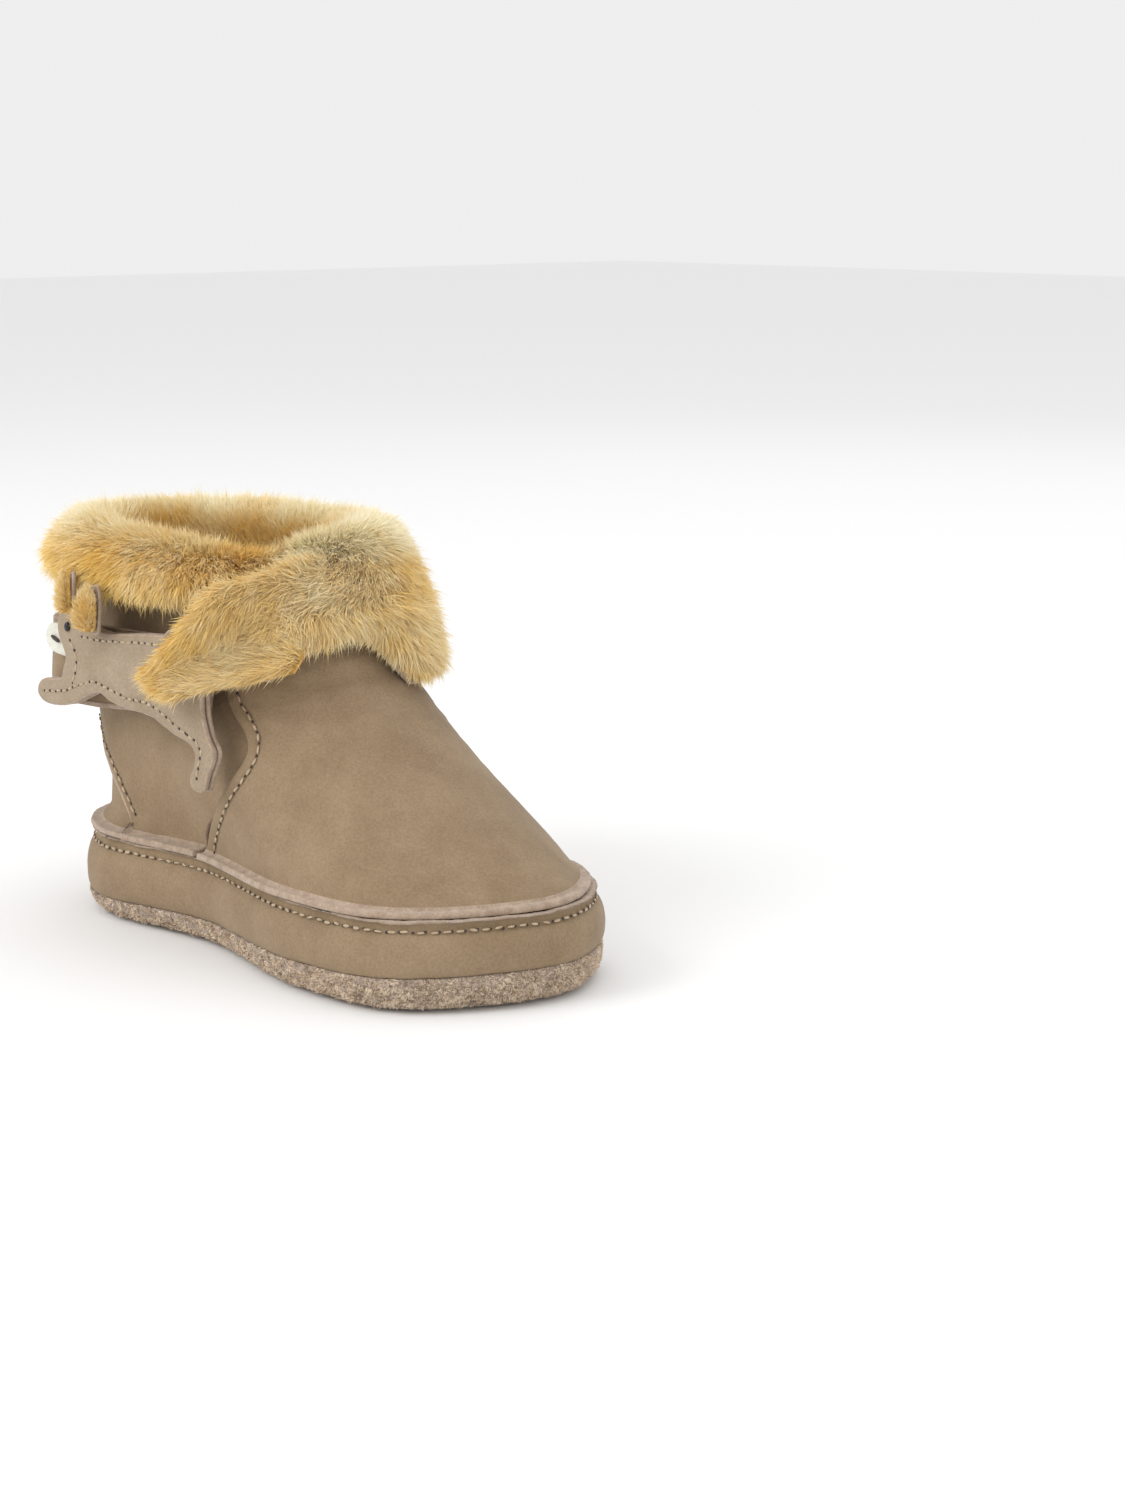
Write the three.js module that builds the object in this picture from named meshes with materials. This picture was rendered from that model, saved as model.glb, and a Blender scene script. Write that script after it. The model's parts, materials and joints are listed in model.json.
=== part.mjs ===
// Baby bootie for the right foot: soft sole, moccasin upper, pile lining with a turned-down cuff,
// an ankle band and an animal-shaped closing strap on the outer side of the ankle.
// Units are millimetres. +X points to the toe, -Y to the outer (closing) side, +Z up, floor at z = 0.
import * as THREE from "three";

// ---- driving dimensions ----
const heelX = 1.5; // back of the sole
const toeX = 125; // tip of the sole
const ballHalfWidth = 28.5;
const soleFloor = 2.1; // thickness of the suede sole under the foot
const rimHeel = 3.9; // height of the sole's rim at the heel
const rimToe = 6.8; // and at the toe
const seamHeight = 17.4; // where the upper meets the side wall
const shaftTop = 73; // fold of the cuff
const leather = 1.2; // thickness of the upper's leather
const gap = 0.3; // clearance kept between neighbouring pieces
const layerGap = 0.6; // and between curved layers, whose facets differ
const lipWidth = 1.9; // raw edge of the upper turned outward over the side wall
const lipTop = seamHeight + 0.4;
const edgeDrop = 0.15; // how far a plain bottom edge runs on below its first row
const liningThickness = 2.4;
const pileThickness = 6.2; // turned-down pile of the cuff
const cuffLeather = 1;
const rearCuffBottom = 62.8;
const liningTop = 66.6;
const strapFaceY = -27.5; // outer face of the closing strap
const strapFaceThickness = 1.1;
const strapBackThickness = 0.9;
const patchThickness = 0.6; // hook patch and loop patch

// ---- the sole's outline, from the heel round the outer side to the toe and back ----
const outlinePoints = [
  [heelX, 0], [6.2, -14], [20, -22.8], [52, -21.4], [88, -ballHalfWidth], [112, -24.1],
  [toeX, 4.2], [113, 23.2], [90, ballHalfWidth], [54, 22.1], [20, 23], [6.2, 14],
];
const outlineCurve = new THREE.CatmullRomCurve3(
  outlinePoints.map(([x, y]) => new THREE.Vector3(x, y, 0)),
  true,
);
const soleMiddle = (heelX + toeX) / 2;
const soleHalfLength = (toeX - heelX) / 2;

// ---- the upper: height, back, front, half width, and how far the section is rounded to an oval ----
const upperSections = [
  [10, 1.8, 121.6, 26.2, 0],
  [seamHeight, 1.6, 121, 26, 0],
  [21, 2, 117, 25.6, 0.1],
  [26, 2, 110.5, 25, 0.3],
  [32, 0.8, 102, 24.2, 0.5],
  [40, -0.6, 91, 23, 0.7],
  [48, -0.2, 81.5, 22, 0.9],
  [56, 0.5, 74.5, 21.2, 1],
  [66, 0.3, 69.5, 20.6, 1],
  [80, 0, 66.5, 20.4, 1],
  [94, -0.3, 65.5, 20.4, 1],
];
const ovalPower = 2.3;

// Smooth value of a table's columns at a key, by Hermite pieces between its rows.
function smoothRow(table, key) {
  const last = table.length - 1;
  const clamped = THREE.MathUtils.clamp(key, table[0][0], table[last][0]);
  let i = 0;
  while (i < last - 1 && table[i + 1][0] < clamped) i++;
  const span = table[i + 1][0] - table[i][0];
  const t = (clamped - table[i][0]) / span;
  const slope = (row, column) => {
    const low = table[Math.max(row - 1, 0)];
    const high = table[Math.min(row + 1, last)];
    return (high[column] - low[column]) / (high[0] - low[0]);
  };
  return table[i].slice(1).map((_, n) => {
    const column = n + 1;
    const a = table[i][column];
    const b = table[i + 1][column];
    const h00 = (1 + 2 * t) * (1 - t) ** 2;
    const h10 = t * (1 - t) ** 2;
    const h01 = t * t * (3 - 2 * t);
    const h11 = t * t * (t - 1);
    return h00 * a + h10 * span * slope(i, column) + h01 * b + h11 * span * slope(i + 1, column);
  });
}

// Straight-line value of a two-column table.
function linear(table, key) {
  if (key <= table[0][0]) return table[0][1];
  for (let i = 1; i < table.length; i++) {
    const [x0, y0] = table[i - 1];
    const [x1, y1] = table[i];
    if (key <= x1) return y0 + ((key - x0) / (x1 - x0)) * (y1 - y0);
  }
  return table[table.length - 1][1];
}

// Point of the sole's outline moved inward, s running from 0 to 1 round the shoe.
function outlineAt(s, inset, z) {
  const turn = s - Math.floor(s);
  const point = outlineCurve.getPoint(turn);
  const tangent = outlineCurve.getTangent(turn);
  return new THREE.Vector3(point.x - tangent.y * inset, point.y + tangent.x * inset, z);
}

// Visible surface of the vamp at station s and height z.
function surface(s, z) {
  const point = outlineCurve.getPoint(s - Math.floor(s));
  const [back, front, halfWidth, oval] = smoothRow(upperSections, z);
  const along = (point.x - soleMiddle) / soleHalfLength;
  const across = point.y / ballHalfWidth;
  const radius = (Math.abs(along) ** ovalPower + Math.abs(across) ** ovalPower) ** (1 / ovalPower);
  const pull = 1 - oval + oval / radius;
  return new THREE.Vector3(
    (back + front) / 2 + ((front - back) / 2) * along * pull,
    halfWidth * across * pull,
    z,
  );
}

// The surface moved out along its normal by an offset.
function skin(s, z, offset) {
  const step = 0.002;
  const round = surface(s + step, z).sub(surface(s - step, z));
  const up = surface(s, z + 0.5).sub(surface(s, z - 0.5));
  const normal = round.cross(up).normalize();
  return surface(s, z).addScaledVector(normal, offset);
}

// Station on the outer or the inner side of the foot where the surface reaches x at height z.
function stationAt(x, z, outerSide) {
  let low = outerSide ? 0 : 1;
  let high = 0.5;
  for (let i = 0; i < 24; i++) {
    const middle = (low + high) / 2;
    if (surface(middle, z).x < x) low = middle;
    else high = middle;
  }
  return (low + high) / 2;
}

// ---- mesh builders ----
function solidGeometry(points, triangles) {
  let volume = 0;
  for (let i = 0; i < triangles.length; i += 3) {
    const [a, b, c] = [points[triangles[i]], points[triangles[i + 1]], points[triangles[i + 2]]];
    volume += a.dot(b.clone().cross(c));
  }
  if (volume < 0) triangles.reverse();
  const geometry = new THREE.BufferGeometry().setFromPoints(points);
  geometry.setIndex(triangles);
  geometry.computeVertexNormals();
  return geometry;
}

// Closed solid through a stack of loops that all have the same number of points.
function stackLoops(loops, capAxes) {
  const count = loops[0].length;
  const points = loops.flat();
  const triangles = [];
  for (let row = 0; row + 1 < loops.length; row++) {
    for (let i = 0; i < count; i++) {
      const a = row * count + i;
      const b = row * count + ((i + 1) % count);
      triangles.push(a, b, b + count, a, b + count, a + count);
    }
  }
  const cap = (row, flip) => {
    const rim = loops[row].map((p) => new THREE.Vector2(p[capAxes[0]], p[capAxes[1]]));
    const clockwise = THREE.ShapeUtils.isClockWise(rim);
    THREE.ShapeUtils.triangulateShape(rim, []).forEach(([a, b, c]) => {
      const base = row * count;
      if (flip !== clockwise) triangles.push(base + a, base + c, base + b);
      else triangles.push(base + a, base + b, base + c);
    });
  };
  cap(0, true);
  cap(loops.length - 1, false);
  return solidGeometry(points, triangles);
}

// Closed shell between two grids of points, rows by columns.
function shellBetween(outer, inner) {
  const rows = outer.length;
  const columns = outer[0].length;
  const points = [...outer.flat(), ...inner.flat()];
  const half = rows * columns;
  const triangles = [];
  const quad = (a, b, c, d) => triangles.push(a, b, c, a, c, d);
  const index = (row, column) => row * columns + column;
  for (let row = 0; row + 1 < rows; row++) {
    for (let column = 0; column + 1 < columns; column++) {
      const a = index(row, column);
      const b = index(row, column + 1);
      const c = index(row + 1, column + 1);
      const d = index(row + 1, column);
      quad(a, b, c, d);
      quad(half + a, half + d, half + c, half + b);
    }
    const [left, leftUp] = [index(row, 0), index(row + 1, 0)];
    const [right, rightUp] = [index(row, columns - 1), index(row + 1, columns - 1)];
    quad(left, leftUp, half + leftUp, half + left);
    quad(right, half + right, half + rightUp, rightUp);
  }
  for (let column = 0; column + 1 < columns; column++) {
    const [a, b] = [index(0, column), index(0, column + 1)];
    const [c, d] = [index(rows - 1, column), index(rows - 1, column + 1)];
    quad(a, half + a, half + b, b);
    quad(c, d, half + d, half + c);
  }
  return solidGeometry(points, triangles);
}

// Leather or pile panel on the upper's surface. from and to give the end stations at a height,
// low and high the heights at a station, outer the offset of its outside. Where lip is over 0
// the bottom edge turns outward by that much.
function panel({ from, to, columns, rows, low, high, outer, thickness, lip, spread }) {
  const grids = [[], []];
  const middleHeight = 45;
  const stationRow = spread ?? ((z, u) => THREE.MathUtils.lerp(from(z), to(z), u));
  [0, -thickness].forEach((depth, side) => {
    for (let row = 0; row <= rows; row++) {
      const line = [];
      for (let column = 0; column <= columns; column++) {
        const u = column / columns;
        const rough = stationRow(middleHeight, u);
        const z = THREE.MathUtils.lerp(low(rough), high(rough), row / rows);
        const s = stationRow(z, u);
        line.push(skin(s, z, outer(s, z) + depth));
      }
      grids[side].push(line);
    }
    if (lip) {
      const edge = grids[side][0].map((p, column) => {
        const s = stationRow(seamHeight, column / columns);
        if (lip(s) === 0) return p.clone().setZ(p.z - edgeDrop);
        const outward = outlineAt(s, -1, 0).sub(outlineAt(s, 0, 0));
        const reach = side ? lip(s) - depth : lip(s);
        return p.clone().addScaledVector(outward, reach).setZ(lipTop + depth);
      });
      grids[side].unshift(edge);
    }
  });
  return shellBetween(grids[0], grids[1]);
}

// Turned-down cuff: one closed section of pile carried round the top of the shaft.
function cuffPile({ from, to, columns, bottom, lift }) {
  const outside = cuffLeather + 2 * layerGap;
  const innerLeg = -2 * leather - 2 * layerGap;
  const section = [
    [innerLeg - liningThickness, 67], [innerLeg - 3, 73], [innerLeg, 77], [1.2, 78.6],
    [5, 77.4], [7.4, 73.8], [outside + pileThickness, 69], [outside + pileThickness - 0.6, 65],
    [outside + pileThickness - 2.6, 62], [outside, 62], [outside, 66], [outside, 70],
    [outside, 73.4], [innerLeg, 73.4], [innerLeg, 67],
  ];
  const hanging = 62;
  const loops = [];
  for (let column = 0; column <= columns; column++) {
    const loop = section.map(([offset, height], i) => {
      const hangs = i >= 5 && i <= 12;
      const share = (shaftTop - height) / (shaftTop - hanging);
      const middle = THREE.MathUtils.lerp(from(height), to(height), column / columns);
      const z = hangs && share > 0 ? shaftTop - share * (shaftTop - bottom(middle)) : height;
      const s = THREE.MathUtils.lerp(from(z), to(z), column / columns);
      return skin(s, z, offset + (hangs ? lift(s, z) : 0));
    });
    loops.push(loop);
  }
  const count = section.length;
  const points = loops.flat();
  const triangles = [];
  for (let column = 0; column < columns; column++) {
    for (let i = 0; i < count; i++) {
      const a = column * count + i;
      const b = column * count + ((i + 1) % count);
      triangles.push(a, b, b + count, a, b + count, a + count);
    }
  }
  const endFace = section.map(([offset, height]) => new THREE.Vector2(offset, height));
  const clockwise = THREE.ShapeUtils.isClockWise(endFace);
  THREE.ShapeUtils.triangulateShape(endFace, []).forEach(([a, b, c]) => {
    const end = columns * count;
    if (clockwise) triangles.push(a, b, c, end + a, end + c, end + b);
    else triangles.push(a, c, b, end + a, end + b, end + c);
  });
  return solidGeometry(points, triangles);
}

// Shape in the X-Z plane given a thickness, with its outer face at outerY.
function slab(shape, outerY, thickness) {
  const geometry = new THREE.ExtrudeGeometry(shape, {
    depth: thickness,
    bevelEnabled: false,
    curveSegments: 4,
  });
  geometry.rotateX(Math.PI / 2);
  geometry.translate(0, outerY + thickness, 0);
  return geometry;
}

// Flat plate with a rounded outline.
function plate(outline, outerY, thickness, steps) {
  const curve = new THREE.CatmullRomCurve3(
    outline.map(([x, z]) => new THREE.Vector3(x, z, 0)),
    true,
  );
  const corners = curve.getPoints(steps).slice(0, steps);
  const shape = new THREE.Shape(corners.map((p) => new THREE.Vector2(p.x, p.y)));
  return slab(shape, outerY, thickness);
}

// ---- finishes ----
const finish = (color, roughness, metalness = 0) =>
  new THREE.MeshStandardMaterial({ color, roughness, metalness });
const nubuck = finish(0xa5957b, 0.9);
const suede = finish(0xa8917c, 1);
const pile = finish(0xdcb56e, 1);
const whiteLeather = finish(0xe6e6d8, 0.7);
const dark = finish(0x2b2420, 0.5);
const foam = finish(0xd9d2c4, 1);
const hookTape = finish(0x9c8f7c, 0.95);

const bootie = new THREE.Group();
function add(name, geometry, material) {
  const mesh = new THREE.Mesh(geometry, material);
  mesh.name = name;
  bootie.add(mesh);
  return mesh;
}

// ---- sole ----
const soleStations = 48;
const ring = (inset, height) =>
  Array.from({ length: soleStations }, (_, i) => {
    const s = i / soleStations;
    return outlineAt(s, inset, typeof height === "function" ? height(s) : height);
  });
const rimAt = (s) =>
  THREE.MathUtils.lerp(rimHeel, rimToe, (outlineAt(s, 0, 0).x - heelX) / (toeX - heelX));

add("outsole", stackLoops([
  ring(6, 0),
  ring(3.2, 0.5),
  ring(1.2, 1.9),
  ring(0.3, (s) => 0.75 * rimAt(s)),
  ring(0.2, rimAt),
  ring(2.2, rimAt),
  ring(2.8, 3.1),
  ring(5, soleFloor),
], ["x", "y"]), suede);

const footbedInset = 3.4;
add("foam_midsole", stackLoops([
  ring(5.6, soleFloor + gap),
  ring(footbedInset, soleFloor + 2),
  ring(footbedInset, 6.6),
], ["x", "y"]), foam);
add("insole_pile", stackLoops([
  ring(footbedInset, 6.9),
  ring(footbedInset, 9.6),
  ring(footbedInset + 1.2, 10.6),
], ["x", "y"]), pile);

// Side wall: an upright strip of leather whose top edge turns out under the upper's lip.
const wallSection = [
  [0.1, 0], [-0.5, 0.35], [0.2, 0.7], [1.7, 0.93], [1, 1],
  [2.6, 1], [3, 0.9], [1.6, 0.66], [1, 0.35], [1.5, 0],
];
const wallTop = lipTop - leather - gap;
const wallLoops = wallSection.map(([inset, share]) =>
  ring(inset, (s) => THREE.MathUtils.lerp(rimAt(s) + gap, wallTop, share)),
);
const wallTriangles = [];
wallLoops.forEach((_, row) => {
  const low = row * soleStations;
  const high = ((row + 1) % wallLoops.length) * soleStations;
  for (let i = 0; i < soleStations; i++) {
    const j = (i + 1) % soleStations;
    wallTriangles.push(low + i, low + j, high + j, low + i, high + j, high + i);
  }
});
add("side_wall", solidGeometry(wallLoops.flat(), wallTriangles), nubuck);

// ---- upper ----
// Edge of the vamp on the outer side, height against x: it runs forward to a corner, then back.
const slitEdge = [
  [17, 51], [22, 54], [30, 61], [38.5, 67.5], [41, 67.5], [46, 61.6], [50, 58.8],
  [60, 58.6], [shaftTop, 59.5],
];
const vampEdge = (z) => stationAt(linear(slitEdge, z), z, true);
const bandSeamX = 29; // where the ankle band leaves the vamp on the inner side
const innerSeam = (z) => stationAt(bandSeamX, z, false);
const flat = (value) => () => value;

add("vamp", panel({
  from: vampEdge,
  to: (z) => innerSeam(z) - 0.002,
  columns: 28,
  rows: 8,
  low: flat(seamHeight),
  high: flat(shaftTop),
  outer: flat(0),
  thickness: leather,
  lip: flat(lipWidth),
}), nubuck);

// Heel counter: top edge against distance round the heel from its middle, in stations.
const counterEdge = [[0, 40], [0.1, 36], [0.13, 32], [0.165, 28], [0.183, 23.5], [0.192, 19.6]];
const counterTop = (s) => linear(counterEdge, Math.abs(s));
const counterEnd = 0.192;
const underOffset = flat(-leather - layerGap);
const underLip = lipWidth + leather + layerGap;
add("heel_counter", panel({
  from: flat(-counterEnd),
  to: flat(counterEnd),
  columns: 24,
  rows: 4,
  low: flat(seamHeight),
  high: (s) => counterTop(s) - gap,
  outer: underOffset,
  thickness: leather,
  lip: flat(underLip),
}), nubuck);

// Quarter: the back of the shaft above the counter and the whole outer side,
// tucked under the ankle band on the inner side and under the edge of the vamp on the outer side.
const quarterFront = [
  [17, 48.6], [21.5, 49.4], [30, 62], [38.5, 72], [46, 66], [50, 62], [60, 60], [shaftTop, 58.5],
];
const quarterStart = -0.24;
const rearColumns = 27;
const sideColumns = 9;
const quarterColumns = rearColumns + sideColumns;
add("quarter", panel({
  spread: (z, u) => {
    const column = u * quarterColumns;
    if (column <= rearColumns) {
      return THREE.MathUtils.lerp(quarterStart, counterEnd, column / rearColumns);
    }
    const front = stationAt(linear(quarterFront, z), z, true);
    return THREE.MathUtils.lerp(counterEnd, front, (column - rearColumns) / sideColumns);
  },
  columns: quarterColumns,
  rows: 7,
  low: (s) => (s > counterEnd + 0.001 ? seamHeight : Math.max(counterTop(s), seamHeight + 1.6) + gap),
  high: flat(shaftTop),
  outer: underOffset,
  thickness: leather,
  lip: (s) => (s > counterEnd + 0.001 ? underLip : 0),
}), nubuck);

// Ankle band: leaves the vamp on the inner side, stands off behind the ankle
// and lies along the outer side under the closing strap.
const bandFrontX = 57;
const bandOffsets = [
  [innerSeam(50) - 1, 0], [stationAt(20, 50, false) - 1, 0.6], [stationAt(10, 50, false) - 1, 2.6],
  [0, 5.4], [stationAt(4, 50, true), 7.2], [stationAt(11, 50, true), 7.2],
  [stationAt(20, 50, true), 3.8], [stationAt(30, 50, true), 1.2],
  [stationAt(42, 50, true), 0.5], [stationAt(bandFrontX, 50, true), 1.6],
];
const bandBottoms = [
  [-0.23, 19.5], [-0.2, 25], [-0.165, 29.5], [-0.12, 34.5], [-0.06, 39], [0, 40.6], [0.12, 41.4],
  [0.24, 42.3], [0.36, 45.4],
];
const bandTops = [[-0.23, 61], [-0.1, 59], [0, 57.2], [0.24, 57.6], [0.36, 59.6]];
add("ankle_band", panel({
  from: (z) => innerSeam(z) - 0.998,
  to: (z) => stationAt(bandFrontX, z, true),
  columns: 32,
  rows: 2,
  low: (s) => linear(bandBottoms, s),
  high: (s) => linear(bandTops, s),
  outer: (s) => linear(bandOffsets, s),
  thickness: leather,
}), nubuck);

// ---- lining ----
const liningOffset = flat(-2 * leather - 3 * layerGap);
const liningSplitX = 52;
const innerSplit = (z) => stationAt(liningSplitX, z, false);
add("rear_lining", panel({
  from: (z) => innerSplit(z) - 0.996,
  to: (z) => stationAt(liningSplitX + 4, z, true),
  columns: 20,
  rows: 7,
  low: flat(11),
  high: flat(liningTop),
  outer: liningOffset,
  thickness: liningThickness,
}), pile);
add("front_lining", panel({
  from: (z) => stationAt(liningSplitX + 5, z, true),
  to: (z) => innerSplit(z) - 0.004,
  columns: 18,
  rows: 7,
  low: flat(11),
  high: flat(liningTop),
  outer: liningOffset,
  thickness: liningThickness,
}), pile);

// ---- cuff ----
// Rear half ends under the front half on the outer side; both meet on the inner side.
const rearCuffEnd = [[rearCuffBottom, 56.5], [66, 59.5], [70, 62.3], [79, 62.3]];
const frontCuffEnd = [[50, 66.5], [60, 64.5], [63.5, 60.4], [66, 61.8], [70.5, 65.2], [79, 65.2]];
const cuffMeetX = 45;
const cuffMeet = (z) => stationAt(cuffMeetX, z, false);
// Bottom of the front half: a dip to a point at the inner front, higher over the instep.
const frontCuffBottoms = [
  [0.36, 53], [0.41, 55.4], [0.44, 57], [0.47, 60], [0.49, 57.5], [0.52, 50], [0.55, 49.5],
  [0.62, 54], [0.7, 58], [0.78, rearCuffBottom],
];
const frontBottom = (s) => linear(frontCuffBottoms, s);
// The outer end of the front half stands off over the root of the strap.
const rootFade = [[58, 1], [68, 0]];
const rootStandOff = (s) => linear([[0.4, 6.2], [0.43, 2.4], [0.455, 0]], s);

add("rear_cuff_leather", panel({
  from: (z) => cuffMeet(z) - 0.996,
  to: (z) => stationAt(linear(rearCuffEnd, z), z, true),
  columns: 30,
  rows: 1,
  low: flat(rearCuffBottom),
  high: flat(shaftTop),
  outer: flat(cuffLeather + layerGap),
  thickness: cuffLeather,
}), nubuck);
add("rear_cuff_pile", cuffPile({
  from: (z) => cuffMeet(z) - 0.996,
  to: (z) => stationAt(linear(rearCuffEnd, z), z, true),
  columns: 20,
  bottom: flat(rearCuffBottom),
  lift: flat(0),
}), pile);
add("front_cuff_leather", panel({
  from: (z) => stationAt(linear(frontCuffEnd, z), z, true),
  to: (z) => cuffMeet(z) - 0.004,
  columns: 20,
  rows: 3,
  low: frontBottom,
  high: flat(shaftTop),
  outer: (s, z) => cuffLeather + layerGap + rootStandOff(s) * linear(rootFade, z),
  thickness: cuffLeather,
}), nubuck);
add("front_cuff_pile", cuffPile({
  from: (z) => stationAt(linear(frontCuffEnd, z), z, true),
  to: (z) => cuffMeet(z) - 0.004,
  columns: 20,
  bottom: frontBottom,
  lift: (s, z) => rootStandOff(s) * linear(rootFade, z),
}), pile);

// ---- closing strap, cut as an animal lying along the ankle with its head to the rear ----
const animalOutline = [
  [62, 59.8], [52, 59.5], [43.4, 58.8], [31, 57.7], [26.4, 58.8], [24.4, 61.4], [21.5, 62.8],
  [18.2, 61.8], [16.2, 58.8], [16, 56.2], [17.4, 53.8], [18.3, 51.6], [17.4, 49.2], [16.6, 47.4],
  [14, 46.8], [10.6, 46.4], [8.6, 45.2], [8.3, 43.4], [10, 42], [14.2, 41.7], [20.4, 42.8],
  [24.8, 44.6], [29.3, 46.1], [33.2, 45], [38.5, 44.3], [46.4, 43.8],
  [53.3, 41.4], [58.4, 39.2], [58.2, 36.4], [56.9, 33.4], [57.8, 31.9], [61.4, 32.1],
  [63.6, 35.4], [65.6, 39.4], [63.4, 42.4], [62, 45.8], [61.8, 52],
];
const backingY = strapFaceY + strapFaceThickness + gap;
const headStart = 19.6; // the backing stops short of the muzzle
const backingOutline = animalOutline.map(([x, z]) => [z > 50 ? Math.max(x, headStart) : x, z]);
add("strap_face", plate(animalOutline, strapFaceY, strapFaceThickness, 74), nubuck);
add("strap_backing", plate(backingOutline, backingY, strapBackThickness, 74), nubuck);

const patchCorner = 2;
function patch(x0, x1, z0, z1, outerY) {
  const corner = patchCorner;
  const shape = new THREE.Shape();
  shape.moveTo(x0 + corner, z0);
  shape.lineTo(x1 - corner, z0);
  shape.quadraticCurveTo(x1, z0, x1, z0 + corner);
  shape.lineTo(x1, z1 - corner);
  shape.quadraticCurveTo(x1, z1, x1 - corner, z1);
  shape.lineTo(x0 + corner, z1);
  shape.quadraticCurveTo(x0, z1, x0, z1 - corner);
  shape.lineTo(x0, z0 + corner);
  shape.quadraticCurveTo(x0, z0, x0 + corner, z0);
  return slab(shape, outerY, patchThickness);
}
const hookY = backingY + strapBackThickness + gap;
const loopY = hookY + patchThickness + gap;
add("hook_patch", patch(22, 42, 47.2, 56.2, hookY), hookTape);
add("loop_patch", patch(21, 45, 46.4, 56.6, loopY), hookTape);

// Muzzle of white leather under the edge of the face, with its dark nose, and the eye.
add("muzzle", plate(
  [[18.2, 57.2], [15, 57.8], [12, 57.2], [11.2, 54.6], [12.2, 52.2], [15, 51.4], [18.2, 51.6]],
  backingY,
  strapBackThickness,
  24,
), whiteLeather);
const nose = add("nose", new THREE.CapsuleGeometry(0.45, 2, 3, 8), dark);
nose.rotation.set(Math.PI / 2, THREE.MathUtils.degToRad(69), 0, "YXZ");
nose.position.set(13.6, backingY - gap - 0.45, 54.2);
const eye = add("eye", new THREE.SphereGeometry(0.8, 12, 8), dark);
eye.scale.set(1, 0.5, 1.15);
eye.position.set(20, strapFaceY - gap - 0.4, 57.6);

// Ears: a leather leaf with a pad of pile in its hollow.
function ear(name, [x, y, z], turn, lean, size) {
  const leaf = [[-3.6, 0], [-3.4, 4], [-1.4, 7.6], [0.6, 8.8], [2.6, 7], [3.6, 3.6], [3.2, 0], [0, -1.2]];
  const scaled = (k) => leaf.map(([a, b]) => [a * k * size, b * k * size]);
  const holder = new THREE.Group();
  holder.position.set(x, y, z);
  holder.rotation.set(0, THREE.MathUtils.degToRad(lean), THREE.MathUtils.degToRad(turn), "ZYX");
  const shell = new THREE.Mesh(plate(scaled(1), -0.8, 0.8, 20), nubuck);
  const pad = new THREE.Mesh(plate(scaled(0.82), -0.8 - gap - 1.4, 1.4, 20), pile);
  shell.name = name + "_leather";
  pad.name = name + "_pile";
  holder.add(shell, pad);
  bootie.add(holder);
}
ear("ear_front", [31.4, -29.4, 58.9], -2, 8, 0.95);
ear("ear_rear", [25.2, -29.4, 61.4], -20, -4, 0.85);

// Corner of the front cuff that is sewn to the root of the strap and lifts with it.
const cornerOutline = [
  [61.4, 61], [57, 61.6], [53.2, 60.4], [50.6, 56], [49.4, 51], [53, 49.6], [57, 48.6], [61.4, 50.4],
];
function cornerLoop(y, shrink, shift) {
  const curve = new THREE.CatmullRomCurve3(
    cornerOutline.map(([x, z]) => new THREE.Vector3(x, y, z)),
    true,
  );
  const middle = new THREE.Vector3(55.5, y, 55);
  return curve.getPoints(24).slice(0, 24).map((p) => {
    p.lerp(middle, shrink);
    p.x += shift;
    return p;
  });
}
const cornerBase = strapFaceY - gap;
add("corner_leather", stackLoops(
  [cornerLoop(cornerBase, 0, 0), cornerLoop(cornerBase - cuffLeather, 0, -0.6)],
  ["x", "z"],
), nubuck);
add("corner_pile", stackLoops([
  cornerLoop(cornerBase - cuffLeather - gap, 0, -1),
  cornerLoop(cornerBase - cuffLeather - gap - 2.4, 0.12, -2),
  cornerLoop(cornerBase - cuffLeather - gap - 4.2, 0.4, -2.8),
], ["x", "z"]), pile);

// Root of the strap: a leather tab on the vamp that rises to the hinge line under the cuff's corner.
const rootOffsets = [[0.36, 7.4], [0.4, 4.2], [0.425, 1.8]];
add("strap_root", panel({
  from: (z) => stationAt(63.4, z, true),
  to: (z) => stationAt(68.5, z, true),
  columns: 6,
  rows: 3,
  low: flat(51.5),
  high: flat(57.5),
  outer: (s) => linear(rootOffsets, s),
  thickness: leather,
}), nubuck);

// The origin is under the middle of the whole bootie's box.
bootie.updateMatrixWorld(true);
const box = new THREE.Box3().setFromObject(bootie, true);
const centred = new THREE.Group();
centred.add(bootie);
bootie.position.set(-(box.min.x + box.max.x) / 2, -(box.min.y + box.max.y) / 2, -box.min.z);

export default centred;
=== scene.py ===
# Baby bootie for the right foot: soft suede sole, leather upper, plush cuff and an animal strap.
# Working sizes are millimetres: x to the toe, -y the closing side, z up. putMesh turns them to metres.
import json
import math
import bpy
import numpy as np
from mathutils import Matrix, Vector, noise
from mathutils.geometry import delaunay_2d_cdt
from mathutils.kdtree import KDTree


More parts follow.
